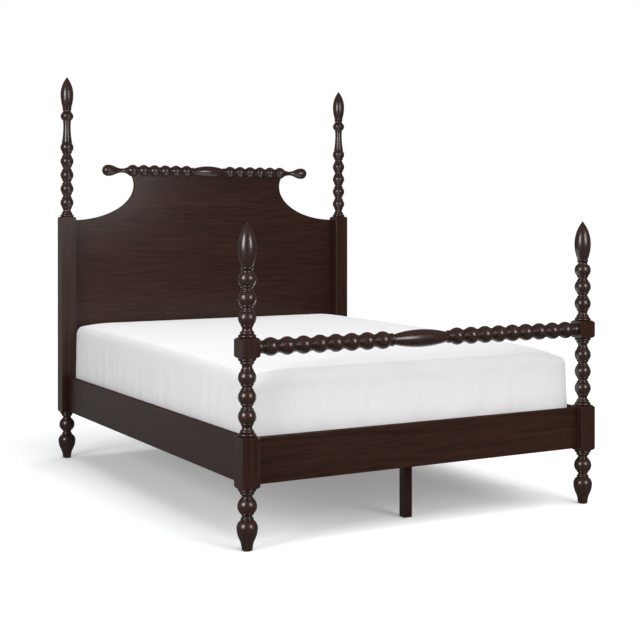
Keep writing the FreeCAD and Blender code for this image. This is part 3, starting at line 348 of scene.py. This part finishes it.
def dark_wood(name, grain, lacquer, end_lacquer, softness, settings):
    """Espresso-stained hardwood, its grain along one axis, under lacquer of its own weight on end faces."""
    material, finish = new_finish(name)
    point = along_grain(finish, grain)
    drift = finish.noise(finish.stretched(point, (0.7, 3.5, 3.5)), 1.0, detail=2.0, distortion=0.4)
    figure = finish.noise(finish.stretched(point, (4.0, 85.0, 85.0)), 1.0, detail=4.0, distortion=0.4)
    streak = finish.noise(finish.stretched(point, (10.0, 260.0, 260.0)), 1.0, detail=3.0)
    pores = finish.noise(finish.stretched(point, (45.0, 900.0, 900.0)), 1.0, detail=1.0).above(0.60, 0.72)
    rounded, edge = eased_edges(finish, settings.edge_radius)
    warmth = (drift * 0.35 + figure * 0.65 + streak * 0.55 - 0.25).above(0.20, 0.90)
    colour = finish.mix(warmth, settings.deep_colour, settings.warm_colour)
    colour = finish.mix(pores * 0.6, colour, settings.deep_colour)
    # Arrises lightened towards this colour: partly rubbed stain, partly a painted highlight along the edges
    colour = finish.mix(edge * 0.55, colour, settings.rubbed_and_highlight_colour)
    height = streak * 0.5 + figure * 0.3 - pores
    weight = lacquer + (end_lacquer - lacquer) * facing_ends(finish)
    dull = facing_up(finish)
    roughness = settings.stain_roughness + streak * 0.08 + pores * 0.12
    finish.surface({
        "Base Color": colour,
        "Roughness": roughness + dull * DULLED_ROUGHNESS - 0.04,
        "Specular IOR Level": 0.07,
        "Coat Weight": (weight + streak * 0.08 - pores * 0.15) * (1 - DULLED_COAT * dull),
        "Coat Roughness": softness,
        "Coat IOR": 1.7,
        "Normal": finish.bump(height, 0.25, 0.0003, rounded),
    })
    return material


def pale_wood(name, grain, settings):
    """Planed softwood with its growth rings along one axis."""
    material, finish = new_finish(name)
    point = along_grain(finish, grain)
    sway = finish.noise(finish.stretched(point, (1.3, 9.0, 9.0)), 1.0, detail=2.0)
    rings = finish.node("ShaderNodeTexWave", {"wave_type": "BANDS", "bands_direction": "Y"}, {
        "Vector": finish.stretched(point, (0.35, 1.0, 1.0)), "Scale": 22.0, "Distortion": 5.0,
        "Detail": 2.0, "Detail Scale": 1.2})
    fibre = finish.noise(finish.stretched(point, (6.0, 420.0, 420.0)), 1.0, detail=2.0)
    ring_share = (rings ** 2.0) * 0.65 + fibre * 0.25 + sway * 0.25 - 0.12
    colour = finish.mix(ring_share.above(0.0, 1.0), settings.light_colour, settings.ring_colour)
    finish.surface({
        "Base Color": colour,
        "Roughness": 0.62 + fibre * 0.2,
        "Normal": finish.bump(fibre + rings * 0.4, 0.3, 0.0003),
    })
    return material


def plated_steel(name):
    """Zinc-plated steel with faint rolling marks and spangle."""
    material, finish = new_finish(name)
    point = finish.place()
    marks = finish.noise(finish.stretched(point, (900.0, 900.0, 60.0)), 1.0, detail=2.0)
    cloud = finish.noise(point, 90.0, detail=3.0)
    colour = finish.mix(cloud.above(0.3, 0.75), (0.50, 0.50, 0.49), (0.66, 0.65, 0.60))
    finish.surface({
        "Base Color": colour,
        "Metallic": 1.0,
        "Roughness": 0.26 + marks * 0.16 + cloud * 0.1,
        "Normal": finish.bump(marks, 0.15, 0.0001),
    })
    return material


def moulded_plastic(name):
    """Black moulded plastic with a fine spark-eroded texture."""
    material, finish = new_finish(name)
    point = finish.place()
    texture = finish.noise(point, 1800.0, detail=2.0)
    scuff = finish.noise(point, 120.0, detail=4.0).above(0.5, 0.8)
    colour = finish.mix(scuff * 0.5, (0.028, 0.028, 0.03), (0.09, 0.088, 0.085))
    finish.surface({
        "Base Color": colour,
        "Roughness": 0.5 + texture * 0.2,
        "Normal": finish.bump(texture, 0.3, 0.00015),
    })
    return material


def woven_threads(finish, point, pitch):
    """Height of a plain weave; a wave across each axis leaves the two that lie in the cloth."""
    threads = 0.0
    for axis in "XYZ":
        settings = {"wave_type": "BANDS", "bands_direction": axis, "wave_profile": "SIN"}
        wave = finish.node("ShaderNodeTexWave", settings, {
            "Vector": point, "Scale": math.pi / (10 * pitch), "Distortion": 0.0})
        threads = threads + wave
    return threads


def sheet_cotton(name, settings):
    """White percale: fine weave, slubs and the softest of creases."""
    material, finish = new_finish(name)
    point = finish.place()
    threads = woven_threads(finish, point, settings.weave_pitch)
    slub = finish.noise(point, 260.0, detail=3.0)
    crease = finish.noise(finish.stretched(point, (70.0, 70.0, 5.0)), 1.0, detail=3.0, distortion=0.6)
    cloud = finish.noise(point, 3.0, detail=2.0)
    tone = (slub * 0.3 + cloud * 0.5 + crease * 0.2).above(0.25, 0.75)
    shade = darker(settings.sheet_colour, 0.965)
    finish.surface({
        "Base Color": finish.mix(tone, shade, settings.sheet_colour),
        "Roughness": 0.86 + slub * 0.08,
        "Specular IOR Level": 0.25,
        "Sheen Weight": 0.15,
        "Normal": finish.bump(threads * 0.12 + slub * 0.2 + crease * 1.1, 0.35, 0.0011),
    })
    return material


def mattress_cover(name, settings):
    """Woven ticking with narrow stripes along the mattress."""
    material, finish = new_finish(name)
    point = finish.place()
    threads = woven_threads(finish, point, 2 * settings.weave_pitch)
    stripe = finish.node("ShaderNodeTexWave", {"wave_type": "BANDS", "bands_direction": "X"}, {
        "Vector": point, "Scale": 10.0, "Distortion": 0.0}).above(0.86, 0.92)
    slub = finish.noise(point, 200.0, detail=3.0)
    shade = darker(settings.cover_colour, 0.72)
    finish.surface({
        "Base Color": finish.mix(stripe * 0.7 + slub * 0.2, settings.cover_colour, shade),
        "Roughness": 0.85 + slub * 0.1,
        "Specular IOR Level": 0.2,
        "Normal": finish.bump(threads * 0.2 + slub * 0.4, 0.4, 0.0012),
    })
    return material


def dress(prefixes, material):
    """Give a material to every node whose name begins with one of the prefixes."""
    names = [name for name in NODES if name.startswith(prefixes)]
    if not names:
        raise RuntimeError("no node begins with any of %s" % (prefixes,))
    for name in names:
        slots = NODES[name].data.materials
        slots.clear()
        slots.append(material)


# Mattress and sheet shapes


def square_to_round(across, up):
    """Take a point in a square corner to where a round corner has it, both seen from its centre."""
    length = math.hypot(across, up)
    if across <= 0 or up <= 0 or length == 0:
        return across, up
    reach = max(across, up) / length
    return across * reach, up * reach


def quarter_wave(distance, reach):
    """0 at no distance, 1 from the reach on, levelling off between."""
    return math.sin(min(max(distance / reach, 0.0), 1.0) * math.pi / 2)


def bell(distance, width):
    """1 at no distance, fading to nothing within a few widths."""
    return math.exp(-(distance / width) ** 2)


def ripple(along, share, waves, seed):
    """Smooth noise, its waves given for a metre along a side and for the whole height up it."""
    return noise.noise(Vector((along * waves[0], share * waves[1], seed)))


class SoftBlock:
    """Rounded, crowned and drawn-in block that the mattress and its sheet both follow, in metres."""

    # Radii of the corners seen from above, of the upper edges along sides and ends, and of the lower edges
    corner = 0.03
    side_round = 0.032
    end_round = 0.046
    lower_round = 0.02
    # How far the sides draw in half way up and lean in at the top, and how deep in that is felt
    waist = 0.003
    lean = 0.006
    skin = 0.05
    # Drop of the plain box's top below the solid's, and the top's rise from the foot and how far it goes on
    shoulder = 0.036
    rise = 0.020
    rise_reach = 1.6
    # Crown of the top, and how far in from the sides, the foot and the head it goes on swelling
    crown = 0.018
    side_reach = 0.15
    foot_reach = 1.2
    head_reach = 0.10
    # How far the padding gives way at the foot's corners, its width and length, and the sides' share of it
    droop = 0.024
    droop_width = 0.10
    droop_length = 0.13
    side_share = 0.15
    # Valley across the top behind the foot's edge, which fades towards the sides
    valley_inset = 0.064
    valley_width = 0.017
    valley_depth = 0.0055
    valley_fade = 0.2

    def __init__(self, low, high):
        self.centre = (low + high) / 2
        self.half = (high - low) / 2
        self.low = low.z
        self.high = high.z - self.shoulder

    def inset(self, x, y):
        """Distance in from the outline, and the way out of it, at a point seen from the centre."""
        across = abs(x) - (self.half.x - self.corner)
        along = abs(y) - (self.half.y - self.corner)
        if across > 0 and along > 0:
            length = math.hypot(across, along)
            out = Vector((math.copysign(across, x), math.copysign(along, y))) / length
            return self.corner - length, out
        if across > along:
            return self.corner - across, Vector((math.copysign(1.0, x), 0.0))
        return self.corner - along, Vector((0.0, math.copysign(1.0, y)))

    def shaped(self, point):
        """Where a point of the plain box goes."""
        x = point.x - self.centre.x
        y = point.y - self.centre.y
        across = abs(x) - (self.half.x - self.corner)
        along = abs(y) - (self.half.y - self.corner)
        across_round, along_round = square_to_round(across, along)
        x += math.copysign(1.0, x) * (across_round - across)
        y += math.copysign(1.0, y) * (along_round - along)
        inset, out = self.inset(x, y)
        top_height = self.top_height(x, y)
        z = point.z
        upper_round = self.side_round * out.x ** 2 + self.end_round * out.y ** 2
        for level, sign, radius in ((self.high, 1, upper_round), (self.low, -1, self.lower_round)):
            rise = sign * (z - level) + radius
            reach = radius - inset
            reach_round, rise_round = square_to_round(reach, rise)
            x += out.x * (reach_round - reach)
            y += out.y * (reach_round - reach)
            z += sign * (rise_round - rise)
        share = min(max((z - self.low) / (self.high - self.low), 0.0), 1.0)
        draw = self.waist * math.sin(math.pi * share) + self.lean * share ** 2
        draw *= math.exp(-inset / self.skin)
        if point.z > self.high - HAIR:
            z += top_height
        slope = self.rise * quarter_wave(y + self.half.y, self.rise_reach)
        z += (slope - self.edge_droop(x, y)) * share ** 2
        return Vector((x - out.x * draw + self.centre.x, y - out.y * draw + self.centre.y, z))

    def edge_droop(self, x, y):
        """How far the padding gives way along the sides, most at the corners of the foot."""
        side = self.half.x - abs(x)
        foot = self.half.y + y
        along = self.side_share * (1 - quarter_wave(foot, self.foot_reach))
        along += (1 - self.side_share) * bell(foot, self.droop_length)
        return self.droop * bell(side, self.droop_width) * along

    def top_height(self, x, y):
        """Crown of the top, fuller towards the head, behind a valley along the foot."""
        side = self.half.x - abs(x)
        foot = self.half.y + y
        head = self.half.y - y
        swell = quarter_wave(side, self.side_reach) * quarter_wave(head, self.head_reach)
        swell *= quarter_wave(foot, self.foot_reach)
        valley = self.valley_depth * bell(foot - self.valley_inset, self.valley_width)
        return self.crown * swell - valley * quarter_wave(side, self.valley_fade)


def gridded_box(low, high, step):
    """Box of even squares between two corners, as a bmesh."""
    form = bmesh.new()
    bmesh.ops.create_cube(form, size=1.0)
    size = high - low
    bmesh.ops.scale(form, vec=size, verts=form.verts)
    bmesh.ops.translate(form, vec=(low + high) / 2, verts=form.verts)
    for axis in range(3):
        edges = []
        for edge in form.edges:
            run = edge.verts[1].co - edge.verts[0].co
            if abs(run[axis]) > 0.5 * size[axis]:
                edges.append(edge)
        cuts = max(round(size[axis] / step) - 1, 1)
        bmesh.ops.subdivide_edges(form, edges=edges, cuts=cuts, use_grid_fill=True)
    return form


def linked(name, form):
    """Object in the scene with a copy of a bmesh."""
    mesh = bpy.data.meshes.new(name)
    form.to_mesh(mesh)
    made = bpy.data.objects.new(name, mesh)
    bpy.context.scene.collection.objects.link(made)
    return made


def finished(name, form, material):
    """Object that takes over a bmesh and has a material."""
    made = linked(name, form)
    form.free()
    made.data.materials.append(material)
    return made


def piece(name, form, material, body):
    """Turn a bmesh into a smooth piece that rides on a body."""
    made = finished(name, form, material)
    faces = made.data.polygons
    faces.foreach_set("use_smooth", [True] * len(faces))
    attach(made, body)
    return made


def mattress_form(settings):
    """Mattress as a bmesh, a little smaller all round than the sheet, but for its underside."""
    margin = Vector((settings.ease, settings.ease, settings.ease))
    low = MATTRESS_LOW + Vector((settings.ease, settings.ease, 0.0))
    high = MATTRESS_HIGH - margin
    block = SoftBlock(low, high)
    step = MATTRESS_COARSENESS * settings.mesh_step
    form = gridded_box(low, Vector((*high.xy, block.high)), step)
    for vertex in form.verts:
        vertex.co = block.shaped(vertex.co)
    bmesh.ops.recalc_face_normals(form, faces=form.faces)
    return form


# Operators, one for each piece or group of like pieces


class SPINDLE_BED_OT_dark_wood(bpy.types.Operator):
    """Stain and lacquer the posts, rails, headboard and legs"""

    bl_idname = "spindle_bed.dark_wood"
    bl_label = "Finish Dark Wood"

    def execute(self, context):
        settings = context.scene.spindle_bed_dark_wood
        turned = settings.turned_lacquer
        board = settings.board_lacquer
        rail = settings.rail_lacquer
        finishes = (
            (UPRIGHT_WOOD, "espresso_wood_posts", "Z", turned, board, settings.turned_softness),
            (SPINDLE_WOOD, "espresso_wood_spindles", "X", turned, turned, settings.turned_softness),
            (BOARD_WOOD, "espresso_wood_boards", "X", board, board, settings.board_softness),
            (SIDE_WOOD, "espresso_wood_side_rails", "Y", rail, rail, settings.rail_softness),
        )
        for prefixes, name, grain, lacquer, end_lacquer, softness in finishes:
            dress(prefixes, dark_wood(name, grain, lacquer, end_lacquer, softness, settings))
        return {"FINISHED"}


class SPINDLE_BED_OT_pale_wood(bpy.types.Operator):
    """Plane the slats, ledgers, centre beam and dowels"""

    bl_idname = "spindle_bed.pale_wood"
    bl_label = "Finish Slats and Beam"

    def execute(self, context):
        settings = context.scene.spindle_bed_pale_wood
        dress(SLAT_WOOD, pale_wood("slat_softwood", "X", settings))
        dress(LONG_PALE_WOOD, pale_wood("beam_softwood", "Y", settings))
        dress(DOWEL_WOOD, pale_wood("dowel_wood", "Z", settings))
        return {"FINISHED"}


class SPINDLE_BED_OT_hardware(bpy.types.Operator):
    """Plate the hooks, hangers, bolts and screws, and mould the glides"""

    bl_idname = "spindle_bed.hardware"
    bl_label = "Finish Hardware"

    def execute(self, context):
        dress(STEEL, plated_steel("zinc_plated_steel"))
        dress(GLIDES, moulded_plastic("glide_plastic"))
        return {"FINISHED"}


class SPINDLE_BED_OT_mattress(bpy.types.Operator):
    """Make the mattress in its woven cover"""

    bl_idname = "spindle_bed.mattress"
    bl_label = "Make Mattress"

    def execute(self, context):
        settings = context.scene.spindle_bed_bedding
        form = mattress_form(settings)
        mattress = piece("sprung_mattress", form, mattress_cover("ticking", settings), "mattress")
        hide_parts("mattress")
        return {"FINISHED"}


class SPINDLE_BED_OT_fitted_sheet(bpy.types.Operator):
    """Stretch the fitted sheet over the mattress and let it settle"""

    bl_idname = "spindle_bed.fitted_sheet"
    bl_label = "Make Fitted Sheet"

    # Shares of the sheet's height: held below the first, and taut from the second on, fully after the span
    held_below = 0.02
    taut_from = 0.8
    taut_span = 0.2
    # Gap that the simulation keeps between cloth and mattress, in metres
    cloth_gap = 0.001
    # How often and how far the divided cloth is relaxed
    relax_rounds = 2
    relax_factor = 0.5
    # Puckers: how far from the middle of a side they reach, in metres, and the share left of them beyond that
    pucker_reach = 0.6
    pucker_least = 0.3
    # Waves of the patches that they come in, of the fine and the finer ones, and the finer ones' share
    patch_waves = (2.1, 1.7)
    fine_waves = (24.0, 1.6)
    finer_waves = (47.0, 2.6)
    finer_share = 0.6

    def execute(self, context):
        settings = context.scene.spindle_bed_bedding
        block = SoftBlock(SHEET_LOW, SHEET_HIGH)
        form = self.cut(block, settings)
        self.settle(context.scene, form, block, settings)
        self.soften(form)
        self.pucker(form, block, settings)
        sheet = piece("cotton_fitted_sheet", form, sheet_cotton("percale", settings), "mattress")
        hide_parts("fitted_sheet")
        return {"FINISHED"}

    @staticmethod
    def cut(block, settings):
        """Sheet as it is cut and sewn: a box that is open below, inside its hem."""
        form = gridded_box(SHEET_LOW, Vector((*SHEET_HIGH.xy, block.high)), settings.mesh_step)
        inner = []
        for face in form.faces:
            middle = face.calc_center_median() - block.centre
            if face.normal.z < -0.5 and block.inset(middle.x, middle.y)[0] > settings.hem_width:
                inner.append(face)
        bmesh.ops.delete(form, geom=inner, context="FACES")
        for vertex in form.verts:
            vertex.co = block.shaped(vertex.co)
        bmesh.ops.recalc_face_normals(form, faces=form.faces)
        return form

    def settle(self, scene, form, block, settings):
        """Let the sheet settle on the mattress as cloth, slack on its sides and taut on top."""
        form.verts.index_update()
        cloth = linked("settling_sheet", form)
        held = cloth.vertex_groups.new(name="held")
        taut = cloth.vertex_groups.new(name="taut")
        for vertex in form.verts:
            share = (vertex.co.z - block.low) / (block.high - block.low)
            if share < self.held_below:
                held.add([vertex.index], 1.0, "REPLACE")
            pull = (share - self.taut_from) / self.taut_span
            taut.add([vertex.index], min(max(pull, 0.0), 1.0), "REPLACE")
        body = mattress_form(settings)
        under = linked("settling_mattress", body)
        body.free()
        under.modifiers.new("under", "COLLISION")
        under.collision.thickness_outer = self.cloth_gap
        under.collision.cloth_friction = 12.0
        modifier = cloth.modifiers.new("cloth", "CLOTH")
        fabric = modifier.settings
        fabric.quality = 6
        fabric.mass = 0.15
        fabric.tension_stiffness = 25.0
        fabric.compression_stiffness = 25.0
        fabric.shear_stiffness = 8.0
        fabric.bending_stiffness = 0.6
        fabric.vertex_group_mass = "held"
        fabric.vertex_group_shrink = "taut"
        fabric.shrink_min = -settings.slack
        fabric.shrink_max = 0.0
        modifier.collision_settings.distance_min = self.cloth_gap
        modifier.point_cache.frame_start = 1
        modifier.point_cache.frame_end = settings.settle_frames
        for number in range(1, settings.settle_frames + 1):
            scene.frame_set(number)
        settled = cloth.evaluated_get(bpy.context.evaluated_depsgraph_get())
        for vertex, place in zip(form.verts, settled.data.vertices):
            step = place.co - vertex.co
            vertex.co += step * min(1.0, settings.most_drift / max(step.length, HAIR))
        scene.frame_set(1)
        for spent in (cloth, under):
            bpy.data.objects.remove(spent)

    def soften(self, form):
        """Divide each square in four and relax the new points, but not those of the hem's edge."""
        bmesh.ops.subdivide_edges(form, edges=form.edges[:], cuts=1, use_grid_fill=True)
        inside = [vertex for vertex in form.verts if not vertex.is_boundary]
        for _ in range(self.relax_rounds):
            bmesh.ops.smooth_vert(
                form, verts=inside, factor=self.relax_factor,
                use_axis_x=True, use_axis_y=True, use_axis_z=True)

    def pucker(self, form, block, settings):
        """Draw fine upright puckers into the sides, deepest half way along them."""
        form.normal_update()
        for vertex in form.verts:
            place = vertex.co - block.centre
            out = block.inset(place.x, place.y)[1]
            along = place.x * out.y - place.y * out.x
            share = (vertex.co.z - block.low) / (block.high - block.low)
            upright = math.hypot(vertex.normal.x, vertex.normal.y) ** 4
            patch = self.pucker_least + (1 - self.pucker_least) * bell(along, self.pucker_reach)
            patch *= 0.6 + 0.8 * ripple(along, share, self.patch_waves, 4.0)
            fine = ripple(along, share, self.fine_waves, 9.0 + out.y)
            finer = ripple(along, share, self.finer_waves, 2.0 + out.x)
            depth = settings.pucker_depth * upright * patch * (fine + self.finer_share * finer)
            vertex.co.x += out.x * depth
            vertex.co.y += out.y * depth
        form.normal_update()


class SPINDLE_BED_OT_stage(bpy.types.Operator):
    """Lay the floor, light the bed and set the camera"""

    bl_idname = "spindle_bed.stage"
    bl_label = "Set Stage"

    # Half the floor's width in metres, and the tint of its lift
    floor_reach = 60.0
    floor_tint = (0.97, 1.0, 1.035)
    # Curtain, a little above the floor, in metres
    curtain_radius = 14.0
    curtain_height = 9.0
    curtain_gap = 0.002
    # How the curtain's second level comes in, towards the left and the rear: weights of X and Y, and the step
    left_weight = 0.35
    rear_weight = 0.1
    left_step = (0.3, 0.8)
    # Lamps: places, what they point at, and each soft box's share of the power
    top_place = Vector((1.5, -1.3, 5.0))
    top_target = Vector((0.0, 0.0, 0.0))
    top_spread = math.radians(70)
    box_size = (2.2, 2.7)
    box_target = Vector((0.0, 0.0, 0.9))
    boxes = (
        ("left_box", Vector((-5.2, -2.1, 2.5)), 1.27),
        ("right_box", Vector((1.2, -6.0, 2.6)), 0.97),
    )
    # Camera, level, with its picture shifted down to take in the bed
    camera_place = (-2.872, -5.288, 1.229)
    camera_turn = math.radians(-29.32)
    camera_shift = -0.1634
    camera_sensor = 36.0

    def execute(self, context):
        settings = context.scene.spindle_bed_stage
        context.scene.view_settings.view_transform = "Standard"
        self.lay_floor(settings)
        self.hang_curtain(settings)
        self.light_world(context.scene, settings)
        self.hang_lights(context.scene, settings)
        self.set_camera(context.scene, settings)
        return {"FINISHED"}

    @staticmethod
    def background_rays(finish):
        """1 for rays that should meet the pale background: those seen, mirrored or let through."""
        seen, mirrored, let_through = finish.outputs(
            "ShaderNodeLightPath", ("Is Camera Ray", "Is Glossy Ray", "Is Transmission Ray"))
        return finish.maths("MINIMUM", seen + mirrored + let_through, 1.0)

    def lay_floor(self, settings):
        """Pale floor that keeps the bed's shadow and is lifted a little for the rays that should see it."""
        form = bmesh.new()
        bmesh.ops.create_grid(form, x_segments=1, y_segments=1, size=self.floor_reach)
        material, finish = new_finish("studio_floor")
        rays = self.background_rays(finish)
        lift = [rays * (settings.floor_lift * tint) for tint in self.floor_tint]
        finish.surface({
            "Base Color": finish.mix(rays, settings.bounce_colour, settings.floor_colour),
            "Roughness": 0.9,
            "Specular IOR Level": 0.0,
            "Emission Color": finish.node("ShaderNodeCombineColor", {}, dict(enumerate(lift))),
            "Emission Strength": 1.0,
        })
        finished("studio_floor", form, material)

    def hang_curtain(self, settings):
        """Grey curtain all round and above the set, only mirrored, so that the lacquer stays dark."""
        form = bmesh.new()
        bmesh.ops.create_cone(
            form, segments=64, radius1=self.curtain_radius, radius2=self.curtain_radius,
            depth=self.curtain_height, cap_ends=True)
        middle = self.curtain_height / 2 + self.curtain_gap
        bmesh.ops.translate(form, vec=(0.0, 0.0, middle), verts=form.verts)
        material, finish = new_finish("studio_curtain")
        x, y, _ = finish.split(finish.place())
        leftwards = y * self.rear_weight - x * self.left_weight
        levels = [3 * [settings.curtain_level], 3 * [settings.left_level]]
        finish.surface({
            "Base Color": (0.0, 0.0, 0.0, 1.0),
            "Roughness": 1.0,
            "Specular IOR Level": 0.0,
            "Emission Color": finish.mix(leftwards.above(*self.left_step), *levels),
            "Emission Strength": 1.0,
        })
        curtain = finished("studio_curtain", form, material)
        curtain.visible_camera = False
        curtain.visible_diffuse = False
        curtain.visible_shadow = False
        curtain.visible_transmission = False

    def light_world(self, scene, settings):
        """Even light from all round, white for the rays that should see the background."""
        world = bpy.data.worlds.new("studio")
        scene.world = world
        finish = Finish(world)
        rays = self.background_rays(finish)
        strength = rays * (1.0 - settings.sky_strength) + settings.sky_strength
        background = finish.node("ShaderNodeBackground", {}, {
            "Color": (1.0, 1.0, 1.0, 1.0), "Strength": strength})
        finish.node("ShaderNodeOutputWorld", {}, {"Surface": background})

    def hang_lights(self, scene, settings):
        """Broad light from above, which the lacquer doesn't mirror, and two soft boxes, which it does."""
        top = bpy.data.lights.new("top_light", "SUN")
        top.energy = settings.top_strength
        top.angle = self.top_spread
        overhead = self.point_lamp(scene, "top_light", top, self.top_place, self.top_target)
        overhead.visible_glossy = False
        for name, place, share in self.boxes:
            box = bpy.data.lights.new(name, "AREA")
            box.shape = "RECTANGLE"
            box.size, box.size_y = self.box_size
            box.energy = settings.box_strength * share
            self.point_lamp(scene, name, box, place, self.box_target)

    @staticmethod
    def point_lamp(scene, name, data, place, target):
        """Put a lamp at a place and turn it to a target."""
        lamp = bpy.data.objects.new(name, data)
        lamp.location = place
        lamp.rotation_euler = (target - place).to_track_quat("-Z", "Y").to_euler()
        scene.collection.objects.link(lamp)
        return lamp

    def set_camera(self, scene, settings):
        """Camera at the height and angle from which the bed is pictured."""
        data = bpy.data.cameras.new("camera")
        data.lens = settings.lens
        data.sensor_width = self.camera_sensor
        data.shift_y = self.camera_shift
        camera = bpy.data.objects.new("camera", data)
        camera.location = self.camera_place
        camera.rotation_euler = (math.radians(90), 0.0, self.camera_turn)
        scene.collection.objects.link(camera)
        scene.camera = camera


class SPINDLE_BED_PT_panel(bpy.types.Panel):
    """Everything that makes up the bed, in the order in which it is made"""

    bl_label = "Spindle Bed"
    bl_idname = "SPINDLE_BED_PT_panel"
    bl_space_type = "VIEW_3D"
    bl_region_type = "UI"
    bl_category = "Spindle Bed"

    def draw(self, context):
        layout = self.layout
        for group in SETTINGS:
            settings = getattr(context.scene, group)
            for name in settings.bl_rna.properties.keys():
                if name not in ("rna_type", "name"):
                    layout.prop(settings, name)
        for operator in OPERATORS:
            layout.operator(operator.bl_idname)


SETTINGS = {
    "spindle_bed_dark_wood": DarkWoodSettings,
    "spindle_bed_pale_wood": PaleWoodSettings,
    "spindle_bed_bedding": BeddingSettings,
    "spindle_bed_stage": StageSettings,
}
OPERATORS = (
    SPINDLE_BED_OT_stage,
    SPINDLE_BED_OT_dark_wood,
    SPINDLE_BED_OT_pale_wood,
    SPINDLE_BED_OT_hardware,
    SPINDLE_BED_OT_mattress,
    SPINDLE_BED_OT_fitted_sheet,
)
CLASSES = (*SETTINGS.values(), *OPERATORS, SPINDLE_BED_PT_panel)


def register():
    for listed in CLASSES:
        bpy.utils.register_class(listed)
    for name, group in SETTINGS.items():
        setattr(bpy.types.Scene, name, PointerProperty(type=group))


def unregister():
    for name in SETTINGS:
        delattr(bpy.types.Scene, name)
    for listed in reversed(CLASSES):
        bpy.utils.unregister_class(listed)


def main():
    register()
    bpy.ops.spindle_bed.stage()
    bpy.ops.spindle_bed.dark_wood()
    bpy.ops.spindle_bed.pale_wood()
    bpy.ops.spindle_bed.hardware()
    bpy.ops.spindle_bed.mattress()
    bpy.ops.spindle_bed.fitted_sheet()


if __name__ == "__main__":
    main()
